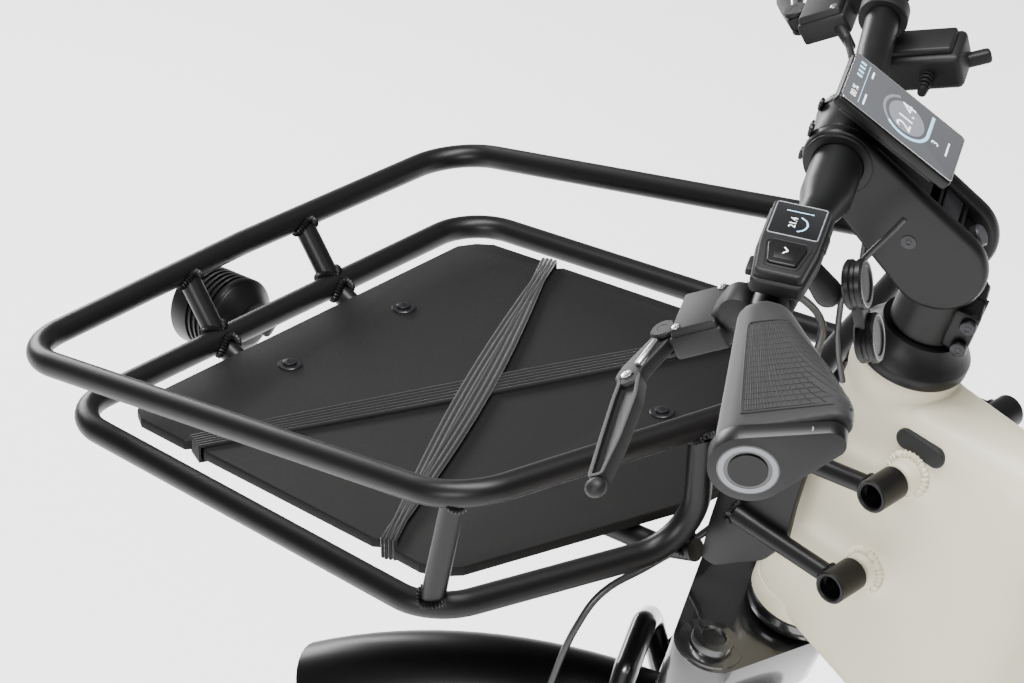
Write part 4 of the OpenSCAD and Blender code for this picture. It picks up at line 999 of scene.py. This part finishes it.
def makeGrips():
    for name, side in (("left", Matrix.Identity(4)), ("right", mirrored)):
        part = bmesh.new()
        for y, radius, length, x, up in ((grip["start"], grip["small"], 20, 0, 0),
                                         (grip["end"] - 8, grip["large"], 8, 0, 0), (300, 9, 14, -38, -34),
                                         (262, 10, 20, -22, -18)):
            bmesh.ops.create_cone(part, cap_ends=True, segments=32, radius1=radius, radius2=radius,
                                  depth=length, matrix=onBar(y) @ shift(x, up, length / 2))
        bm = bmesh.new()
        addHull(bm, part)
        skin = remeshed(bm, 1.6, 14)
        bvh = skinTree(skin)
        bmesh.ops.transform(skin, matrix=side, verts=skin.verts)
        if name == "right":
            bmesh.ops.reverse_faces(skin, faces=skin.faces)
        finishPiece("grip_" + name, skin, steered, "steering", softRubber, ["grip_" + name],
                    smooth=60)
        bm = bmesh.new()
        rows = [(226 + 9.6 * k, -44 + 1.5 * k, 20 + 5.6 * k) for k in range(9)]
        for y, low, top in rows:
            path = [onSkin(bvh, y, low + (top - low) * j / 12) for j in range(13)]
            addTube(bm, path, 0.42, sides=6)
        for j in range(13):
            path = [onSkin(bvh, y, low + (top - low) * j / 12) for y, low, top in rows]
            addTube(bm, path, 0.42, sides=6)
        for half in range(8):
            y0, low0, top0 = rows[half]
            y1, low1, top1 = rows[half + 1]
            y, low, top = (y0 + y1) / 2, (low0 + low1) / 2, (top0 + top1) / 2
            addTube(bm, [onSkin(bvh, y, low + (top - low) * j / 12) for j in range(13)], 0.42, sides=6)
        for j in range(12):
            addTube(bm, [onSkin(bvh, y, low + (top - low) * (j + 0.5) / 12) for y, low, top in rows], 0.42,
                    sides=6)
        firstLow, firstTop = rows[0][1:]
        rim = ([onSkin(bvh, y, low - 3) for y, low, top in rows] +
               [onSkin(bvh, 305, low + (top - low) * j / 12) for j in range(13)] +
               [onSkin(bvh, y, top + 3) for y, low, top in rows[::-1]] +
               [onSkin(bvh, 223, firstLow + (firstTop - firstLow) * j / 12) for j in range(12, -1, -1)])
        addTube(bm, rim, 0.8, closed=True, sides=8)
        bmesh.ops.transform(bm, matrix=side, verts=bm.verts)
        finishPiece("gripPanel_" + name, bm, steered, "steering", griddedRubber, smooth=60)
    clamps, discs, screws = bmesh.new(), bmesh.new(), bmesh.new()
    for side in (Matrix.Identity(4), mirrored):
        end = onBar(grip["end"] + 0.3)
        part = bmesh.new()
        for radius, x, up, length in ((23, 0, 0, 10.6), (9, -36, -32, 9.6)):
            bmesh.ops.create_cone(part, cap_ends=True, segments=48, radius1=radius, radius2=radius * 0.97,
                                  depth=length, matrix=end @ shift(x, up, length / 2))
        addHull(clamps, part, side, edge=1.6)
        addSpun(discs, [(0, 0), (17.2, 0), (17.2, 0.25), (0, 0.25)], side @ end @ shift(0, 0, 10.5),
                sides=64)
        addSpun(screws, [(13.4, 0), (16.4, 0), (16.4, 0.25), (13.4, 0.25)], side @ end @ shift(0, 0, 10.75),
                sides=64, closed=True)
        bolt = onBar(grip["end"] + 5.6) @ shift(-23, -33, 0) @ turned(44, "Z") @ turned(90, "X")
        addSpun(screws, [(0, 0), (3, 0)], side @ bolt)
        makeScrewHead(screws, side @ bolt, 4, 1.6, 1.9)
    finishPiece("gripClamps", clamps, steered, "steering", mouldedAbs, ["grip_clamps"],
                smooth=50)
    finishPiece("gripDiscs", discs, steered, "steering", coverGlass)
    finishPiece("gripRings", screws, steered, "steering", greyInk)


def skinTree(bm):
    return BVHTree.FromBMesh(bm)


def onSkin(tree, y, degrees):
    centre = onBar(y) @ Vector((0, 0, 0))
    outward = (gripLine(y, degrees, 80) - centre).normalized()
    spot = tree.ray_cast(centre + outward * 80, -outward)[0]
    return spot if spot is not None else centre + outward * 20


makeDisplay()
makeRemote()
makeGrips()
print("display, remote and grips made")

# ---- brake levers, switch, shifter and hoses ----
lever = {"pivot": (144, 182, 303), "turn": 43, "thick": 9,
         "knee": [(-7, -4), (5, -8), (11, 4), (22, 26), (24, 36), (16, 47), (6, 44), (6, 30), (-4, 8)],
         "blade": [(6, 36), (20, 34), (19, 60), (16, 100), (13, 134), (3, 134), (1, 100), (2, 60)]}


def makeBrakes():
    for name, side in (("left", Matrix.Identity(4)), ("right", mirrored)):
        own = side @ shift(*lever["pivot"]) @ turned(lever["turn"], "Y")
        bm = bmesh.new()
        addPlate(bm, lever["knee"], lever["thick"], own @ shift(0, 0, -4.5), edge=1.6, segments=3, corner=3)
        addPlate(bm, lever["blade"], lever["thick"], own @ shift(0, 0, -4.5), edge=1.3, segments=3, corner=3,
                 recess=(2.6, 3))
        addBall(bm, 6.5, own @ shift(8, 139, 0), size=(1, 1, 0.85))
        addRod(bm, own @ Vector((0, 0, -8.4)), own @ Vector((0, 0, 8.4)), 3)
        finishPiece("brakeLever_" + name, bm, steered, "lever_" + name[0], mouldedNylon,
                    ["brake_lever_" + name], smooth=40)
        bm = bmesh.new()
        for x, y in ((0, 0), (15, 36)):
            makeScrewHead(bm, own @ shift(x, y, 4.3), 3.6, 1.2, 1.6)
        addRod(bm, own @ Vector((3, 8, 5.2)), own @ Vector((9, 30, 5.6)), 2.4, edge=0.5)
        finishPiece("brakePushrod_" + name, bm, steered, "lever_" + name[0], stainlessSteel)
        bm = bmesh.new()
        box = side @ shift(128, 176, 322) @ turned(43, "Y")
        addBlock(bm, (34, 44, 15), box @ shift(0, 0, -2.5), edge=2.2, segments=3)
        addBlock(bm, (31, 41, 5), box @ shift(0, 0, 6.8), edge=1.6, segments=3, taper=0.93)
        part = bmesh.new()
        neck = Matrix.Translation(onBar(186).translation + Vector((16, 0, -8)))
        bmesh.ops.create_cone(part, cap_ends=True, segments=32, radius1=10, radius2=10, depth=18,
                              matrix=neck @ turned(90, "X"))
        bmesh.ops.create_cube(part, size=12, matrix=shift(120, 178, 326) @ turned(43, "Y"))
        addHull(bm, part, side, edge=1.5)
        addSpun(bm, [(11.2, 0), (13.4, 0), (14, 0.8), (14, 11.2), (13.4, 12), (11.2, 12)],
                side @ onBar(169), closed=True)
        for z in (-6.8, 6.8):
            addSpun(bm, [(3.2, -1.7), (7, -1.7), (8, -0.8), (8, 0.8), (7, 1.7), (3.2, 1.7)],
                    own @ shift(0, 0, z), sides=32, closed=True)
        addRod(bm, side @ Vector((118, 158, 325)), side @ Vector((106, 140, 325)), 4.6, 3.2, edge=0.6)
        finishPiece("brakeBody_" + name, bm, steered, "steering", mouldedNylon,
                    ["brake_body_" + name], smooth=40)
        bm = bmesh.new()
        for x, y in ((-11, -16), (11, 16)):
            makeScrewHead(bm, box @ shift(x, y, 9.2), 2.6, 0.9, 1.2)
        makeScrewHead(bm, side @ onBar(175) @ shift(14, 0, 0) @ turned(90, "Y"), 3.4, 3, 1.6)
        finishPiece("brakeScrews_" + name, bm, steered, "steering", stainlessSteel)


def makeSwitchAndShifter():
    own = shift(50, 132, 334) @ turned(-60, "Y")
    bm = bmesh.new()
    addSpun(bm, [(11.3, 0), (14.4, 0), (15, 0.8), (15, 11.2), (14.4, 12), (11.3, 12)], onBar(126),
            closed=True)
    part = bmesh.new()
    for spot, radius in ((onBar(132).translation + Vector((-14, 0, -6)), 7), (Vector((68, 132, 340)), 9)):
        bmesh.ops.create_uvsphere(part, u_segments=20, v_segments=10, radius=radius,
                                  matrix=Matrix.Translation(spot))
    addHull(bm, part)
    finishPiece("switchBody", bm, steered, "steering", mouldedNylon, ["switch_body"],
                smooth=50)
    bm, rims = bmesh.new(), bmesh.new()
    addBlock(bm, (28, 16, 7), own @ shift(0, 0, 4.5), edge=1.5)
    for x in (-19, 19):
        addSpun(bm, [(0, 0), (13.6, 0), (15, 1.4), (15, 4), (14, 5), (14, 7), (15, 8), (15, 10.6), (14, 12),
                     (11, 12), (10, 11), (0, 10.4)], own @ shift(x, 0, 0), sides=48)
        addSpun(rims, [(12.2, 11.6), (13.4, 12.1), (14.3, 11.6), (13.4, 11)], own @ shift(x, 0, 0),
                sides=48, closed=True)
    finishPiece("switchRocker", bm, steered, "rocker", mouldedAbs, ["switch_rocker"])
    finishPiece("switchRims", rims, steered, "rocker", stainlessSteel)
    bm = bmesh.new()
    addSpun(bm, [(11.3, 0), (15.2, 0), (16, 0.8), (16, 13.2), (15.2, 14), (11.3, 14)],
            mirrored @ onBar(136), closed=True)
    case = shift(60, -143, 336) @ turned(30, "Y")
    addBlock(bm, (54, 36, 24), case @ shift(0, 0, -2), edge=4, segments=3)
    addBlock(bm, (44, 27, 6), case @ shift(0, 0, 11.6), edge=2, segments=3)
    for k in range(5):
        addSpun(bm, [(0, 0), (5.2 - 0.5 * k, 0), (5.2 - 0.5 * k, 2.6), (3, 2.6), (3, 3.8), (0, 3.8)],
                case @ shift(-4, 17 + 3.8 * k, -4) @ turned(-90, "X"), sides=24)
    addBlock(bm, (30, 8, 9), case @ shift(-26, -8, -8) @ turned(20, "Z"), edge=2.5, segments=3)
    finishPiece("shifterCase", bm, steered, "steering", mouldedNylon, ["shifter"])


hoseRoutes = [
    (2.5, [(112, 150, 326), (104, 122, 322), (84, 92, 300), (62, 66, 268), (56, 50, 232), (50, 28, 180),
           (50, 4, 120), (56, -9, 70), (72, -5, 18), (100, 10, -20), (122, 28, -42), (129, 40, -64),
           (131, 52, -115), (128, 66, -190), (106, 90, -280), (56, 98, -350), (4, 88, -410),
           (-22, 64, -436)]),
    (2.5, [(112, -150, 326), (100, -118, 326), (78, -84, 304), (56, -52, 272), (48, -44, 240),
           (36, -44, 214)]),
    (2.0, [(40, 46, 348), (56, 56, 300), (52, 50, 262), (44, 46, 236), (34, 44, 214)])]


def makeHoses():
    bm = bmesh.new()
    for radius, route in hoseRoutes:
        addTube(bm, route, radius, sides=12, smooth=True)
    finishPiece("hoses", bm, steered, "steering", hoseSheath, ["hoses"])


# ---- fork and wheels ----
fork = {"offset": 44, "leg": 65, "length": 510, "stanchion": 17}
archRoute = [(56, 63, -182), (84, 57, -124), (87, 26, -104), (87, -26, -104), (84, -57, -124),
             (56, -63, -182)]


def makeFork():
    bm = bmesh.new()
    addRod(bm, (0, 0, -30), (0, 0, 282), 17)
    part = bmesh.new()
    for x, y, r in ((0, 0, 31), (44, 65, 25), (44, -65, 25)):
        bmesh.ops.create_cone(part, cap_ends=True, segments=48, radius1=r * 0.93, radius2=r, depth=46,
                              matrix=shift(x, y, -38))
    addHull(bm, part, edge=5)
    for side in (1, -1):
        leg = shift(fork["offset"], side * fork["leg"], 0)
        addSpun(bm, [(0, -73), (21, -73), (23, -71), (23, -16), (22, -13.4), (15.5, -13), (15, -9),
                     (14, -6.4), (9, -6), (8, -8), (0, -8)], leg, sides=64)
    finishPiece("forkCrown", bm, steered, "steering", glossEnamel, ["fork_upper"], smooth=40)
    bm = bmesh.new()
    for side in (1, -1):
        x, y = fork["offset"], side * fork["leg"]
        addRod(bm, (x, y, -72), (x, y, -285), fork["stanchion"], sides=48)
    finishPiece("forkStanchions", bm, steered, "steering", oxideSteel)
    bm = bmesh.new()
    for side in (1, -1):
        leg = shift(fork["offset"], side * fork["leg"], 0)
        addSpun(bm, [(17.2, -150), (19, -148), (22, -149), (22.4, -151), (22.4, -164), (21.4, -168),
                     (21.6, -300), (20.4, -470), (21, -505), (19, -521), (12, -524), (0, -524), (0, -400),
                     (17.2, -395)], leg,
                sides=64, closed=True)
        x, z = fork["offset"], -fork["length"]
        addRod(bm, (x, side * 51, z), (x, side * 89, z), 15, edge=2)
    addTube(bm, bentPath(archRoute, 14), 9, sides=24)
    addRod(bm, (x, -60, z), (x, 60, z), 7.5)
    finishPiece("forkLowers", bm, steered, "fork_slider", glossEnamel, ["fork_lowers"],
                smooth=40)


def fenderShell(reach, start, sweep):
    part = bmesh.new()
    ring = [part.verts.new((reach - 38 + 38 * math.cos(a), 38 * math.sin(a), 0))
            for a in [math.radians(-73 + 146 * k / 14) for k in range(15)]]
    for a, b in zip(ring, ring[1:]):
        part.edges.new((a, b))
    bmesh.ops.rotate(part, cent=(0, 0, 0), matrix=Matrix.Rotation(math.radians(-start), 3, "Y"),
                     verts=part.verts)
    bmesh.ops.spin(part, geom=part.verts[:] + part.edges[:], cent=(0, 0, 0), axis=(0, 1, 0),
                   angle=math.radians(-sweep), steps=60, use_merge=False, use_duplicate=False)
    bmesh.ops.recalc_face_normals(part, faces=part.faces)
    bmesh.ops.solidify(part, geom=part.faces[:], thickness=2.6)
    return part


def makeFenders():
    bm = bmesh.new()
    addPart(bm, fenderShell(380, 47, 150), None)
    for side in (1, -1):
        for angle in (150, 190):
            a = math.radians(angle)
            addRod(bm, (-8, side * 90, 16), (356 * math.cos(a), side * 36, 356 * math.sin(a)), 2)
    addRod(bm, (43, 0, 372), (43, 0, 396), 5)
    finishPiece("frontFender", bm, frontAxle, "fork_slider", mouldedAbs, ["front_fender"],
                smooth=40)
    bm = bmesh.new()
    addPart(bm, fenderShell(366, 28, 150), None)
    for side in (1, -1):
        a = math.radians(160)
        addRod(bm, (-60, side * 72, 82), (342 * math.cos(a), side * 36, 342 * math.sin(a)), 2)
    finishPiece("rearFender", bm, rearAxle, "frame", mouldedAbs, ["rear_fender"], smooth=40)


wheel = {"tyre": 340, "width": 60, "rim": 288, "rimWidth": 34, "rimHeight": 22, "knobs": 76}
aboutY = turned(90, "X")


def makeWheel(end, place, body):
    bm = bmesh.new()
    half = wheel["width"] / 2
    centre = wheel["tyre"] - half - 2
    skin = [(centre + (half - 0.6) * math.cos(a), (half - 0.6) * math.sin(a))
            for a in [math.radians(-128 + 256 * k / 24) for k in range(25)]]
    inner = [(centre + (half - 5) * math.cos(a), (half - 5) * math.sin(a))
             for a in [math.radians(126 - 252 * k / 12) for k in range(13)]]
    addSpun(bm, skin + inner, aboutY, sides=120, closed=True)
    for k in range(wheel["knobs"]):
        for row, lean in ((-34, 18), (-12, 8), (12, -8), (34, -18)):
            spin = turned(360 * (k + (0.5 if abs(row) > 20 else 0)) / wheel["knobs"], "Y")
            tilt = aboutY @ shift(centre, 0, 0) @ turned(row, "Z") @ shift(half - 0.4, 0, 0)
            addBlock(bm, (3.6, 9.4, 17), spin @ tilt @ turned(lean, "X"))
    finishPiece(end + "Tyre", bm, place, body, tyreRubber, [end + "_tyre"], smooth=30)
    bm = bmesh.new()
    r, h, w = wheel["rim"], wheel["rimHeight"], wheel["rimWidth"] / 2
    addSpun(bm, [(r - h, -7), (r - h + 2, -11), (r - 9, -w), (r - 1, -w), (r, -w + 1), (r, -w + 3),
                 (r - 7, -w + 4), (r - 10, -6), (r - 10, 6), (r - 7, w - 4), (r, w - 3), (r, w - 1),
                 (r - 1, w), (r - 9, w), (r - h + 2, 11), (r - h, 7)], aboutY, sides=120, closed=True)
    finishPiece(end + "Rim", bm, place, body, blastedAluminium, [end + "_rim"])
    bm = bmesh.new()
    part = bmesh.new()
    line = [part.verts.new((x, 0, 0)) for x in (75, 82.5, 90)]
    for a, b in zip(line, line[1:]):
        part.edges.new((a, b))
    bmesh.ops.spin(part, geom=part.verts[:] + part.edges[:], cent=(0, 0, 0), axis=(0, 0, 1), angle=math.tau,
                   steps=72, use_merge=True, use_duplicate=False)
    bmesh.ops.recalc_face_normals(part, faces=part.faces)
    part.faces.ensure_lookup_table()
    slots = [f for i, f in enumerate(part.faces) if i % 3 == 0]
    bmesh.ops.inset_individual(part, faces=slots, thickness=1.3)
    bmesh.ops.delete(part, geom=slots, context="FACES")
    bmesh.ops.solidify(part, geom=part.faces[:], thickness=1.9)
    sideways = 38 if end == "front" else 52
    addPart(bm, part, shift(0, sideways + 0.95, 0) @ aboutY)
    for k in range(6):
        addRod(bm, (math.cos(math.tau * k / 6) * 18, sideways, math.sin(math.tau * k / 6) * 18),
               (math.cos(math.tau * k / 6 + 0.3) * 76, sideways, math.sin(math.tau * k / 6 + 0.3) * 76),
               2.4, sides=10)
    addSpun(bm, [(15.1, -1), (26, -1), (26, 1), (15.1, 1)], shift(0, sideways, 0) @ aboutY, closed=True)
    finishPiece(end + "Rotor", bm, place, body, stainlessSteel, [end + "_rotor"])


makeBrakes()
makeSwitchAndShifter()
makeHoses()
makeFork()
makeFenders()
makeWheel("front", frontAxle, "front_wheel")
makeWheel("rear", rearAxle, "rear_wheel")
print("controls, fork and wheels made")

# ---- saddle, drive, rear rack and stand ----
# foam under a stretched vinyl cover: fine leather-like grain, soft low shine
saddleVinyl = surface("stretched vinyl cover, black", {
    "colour": "#131314", "second": "#0f0f10", "grain": 1.2, "depth": 0.22, "roughness": 0.5, "spread": 0.1,
    "shader": {"Specular IOR Level": 0.22, "IOR": 1.5, "Sheen Weight": 0.1}})
saddle = {"top": 1000, "crankToClamp": 681.35}
postTop = crankAt + saddle["crankToClamp"] * seatUp
# stations from tail to nose: x, half width, crown height, underside height
saddleRows = [(-143, 30, -14, -36), (-136, 62, -7, -45), (-112, 82, -3, -50), (-80, 85, -2, -50),
              (-45, 72, -3, -49), (-10, 54, -4, -47), (30, 42, -6, -44), (75, 32, -8, -42),
              (115, 25, -11, -41), (136, 18, -14, -38), (144, 9, -20, -34)]


def makeSaddle():
    place = shift(postTop.x, 0, saddle["top"])
    bm, rings = bmesh.new(), []
    for x, half, top, low in saddleRows:
        middle, high, ring = low * 0.62 + top * 0.38, (top - low) * 0.62, []
        for k in range(32):
            a = math.tau * k / 32
            c, s = math.cos(a), math.sin(a)
            side = half * math.copysign(abs(c) ** 0.62, c)
            dip = 3.2 * max(0, 1 - abs(side) / 16) if s > 0 and -120 < x < 90 else 0
            rise = (high if s > 0 else middle - low) * math.copysign(abs(s) ** 0.8, s)
            ring.append(bm.verts.new((x, side, middle + rise - dip)))
        rings.append(ring)
    for a, b in zip(rings, rings[1:]):
        for k in range(32):
            bm.faces.new((a[k], a[(k + 1) % 32], b[(k + 1) % 32], b[k]))
    bm.faces.new(rings[0][::-1])
    bm.faces.new(rings[-1])
    bmesh.ops.recalc_face_normals(bm, faces=bm.faces)
    bmesh.ops.subdivide_edges(bm, edges=bm.edges[:], cuts=1, use_grid_fill=True, smooth=0.6)
    for _ in range(3):
        bmesh.ops.smooth_vert(bm, verts=bm.verts, factor=0.35, use_axis_x=True, use_axis_y=True,
                              use_axis_z=True)
    bmesh.ops.transform(bm, matrix=place, verts=bm.verts)
    cover = finishPiece("saddleCover", bm, bike, "saddle_post", saddleVinyl, ["saddle"], smooth=80)
    bm = bmesh.new()
    seam = [(x, half * 0.985, low * 0.62 + top * 0.38) for x, half, top, low in saddleRows[1:-1]]
    loop = seam + [(x, -y, z) for x, y, z in seam[::-1]]
    addTube(bm, loop, 1.1, closed=True, sides=8, place=place, smooth=True)
    finishPiece("saddlePiping", bm, bike, "saddle_post", saddleVinyl, smooth=60)
    bm = bmesh.new()
    for side in (1, -1):
        route = [(-110, side * 40, -42), (-60, side * 21.5, -62), (40, side * 21.5, -62),
                 (105, side * 8, -40)]
        addTube(bm, bentPath(route, 20), 3.5, sides=16, place=place)
    finishPiece("saddleRails", bm, bike, "saddle_post", oxideSteel)
    bm = bmesh.new()
    addRod(bm, seatTop - 170 * seatUp, postTop - 8 * seatUp, 15.8, sides=64)
    addRod(bm, postTop + Vector((0, -22, 0)), postTop + Vector((0, 22, 0)), 17, edge=1.5, sides=48)
    for y in (-21.5, 21.5):
        addBlock(bm, (40, 9, 9), shift(postTop.x, y, saddle["top"] - 57), edge=1.5)
    finishPiece("seatpost", bm, bike, "saddle_post", blastedAluminium, ["seatpost"])


crank = {"length": 170, "y": 79, "belt": 58}


def makeCranks():
    bm = bmesh.new()
    addRod(bm, (0, -crank["y"], 0), (0, crank["y"], 0), 10)
    for side in (1, -1):
        outline = twoCircles((0, 0), 18, (-side * crank["length"], 0), 14, 18)
        addPlate(bm, outline, 14, shift(0, side * crank["y"] + 7, 0) @ aboutY, edge=2.5, segments=3,
                 corner=0)
    finishPiece("crankArms", bm, crankAxle, "cranks", blastedAluminium, ["crankset"])
    bm = bmesh.new()
    ring = shift(0, -crank["belt"], 0) @ aboutY
    addSpun(bm, [(62, -5.5), (70, -5.5), (71, -4), (77, -4), (78, -5.5), (78, 5.5), (77, 4), (71, 4),
                 (70, 5.5), (62, 5.5)],
            ring, sides=96, closed=True)
    for k in range(5):
        a = math.tau * k / 5
        addRod(bm, (10 * math.cos(a), -crank["belt"], 10 * math.sin(a)),
               (65 * math.cos(a), -crank["belt"], 65 * math.sin(a)), 6, 4.5, edge=1)
    finishPiece("beltRing", bm, crankAxle, "cranks", stainlessSteel)
    for name, side in (("left", 1), ("right", -1)):
        bm = bmesh.new()
        own = shift(-side * crank["length"], side * (crank["y"] + 60), 0)
        for x in (-42, 42):
            addBlock(bm, (10, 92, 22), own @ shift(x, 0, 0), edge=3, segments=3)
            for k in range(7):
                addRod(bm, own @ Vector((x, -36 + 12 * k, 9)), own @ Vector((x, -36 + 12 * k, 12)), 1.7,
                       1.2, sides=10)
        for y in (-41, 41):
            addBlock(bm, (84, 10, 18), own @ shift(0, y, 0), edge=3, segments=3)
        addBlock(bm, (22, 84, 22), own, edge=6, segments=4)
        addRod(bm, own @ Vector((0, -side * 67, 0)), own @ Vector((0, side * 42, 0)), 7)
        finishPiece("pedal_" + name, bm, crankAxle, "pedal_" + name[0], mouldedNylon,
                    ["pedal_" + name])


rearRack = {"middle": -637, "slats": 9, "pitch": 16.5, "top": 752}


def makeRear():
    bm = bmesh.new()
    for k in range(rearRack["slats"]):
        y = rearRack["pitch"] * (k - (rearRack["slats"] - 1) / 2)
        addBlock(bm, (575, 12, 8), shift(rearRack["middle"], y, rearRack["top"] - 4), edge=2, segments=3)
    for x in (-400, -560, -720, -880):
        addBlock(bm, (24, 144, 4), shift(x, 0, rearRack["top"] - 6), edge=1)
    finishPiece("rackDeck", bm, bike, "frame", mouldedNylon, ["rack_deck"])
    bm = bmesh.new()
    for y in (-45, 45):
        for x in (-480, -720):
            makeScrewHead(bm, shift(x, y - 4.5 * (1 if y > 0 else -1), 751.5), 5, 1.2, 2.5)
    finishPiece("rackScrews", bm, bike, "frame", stainlessSteel)


makeSaddle()
makeCranks()
makeRear()
print("saddle, drive and rack made")
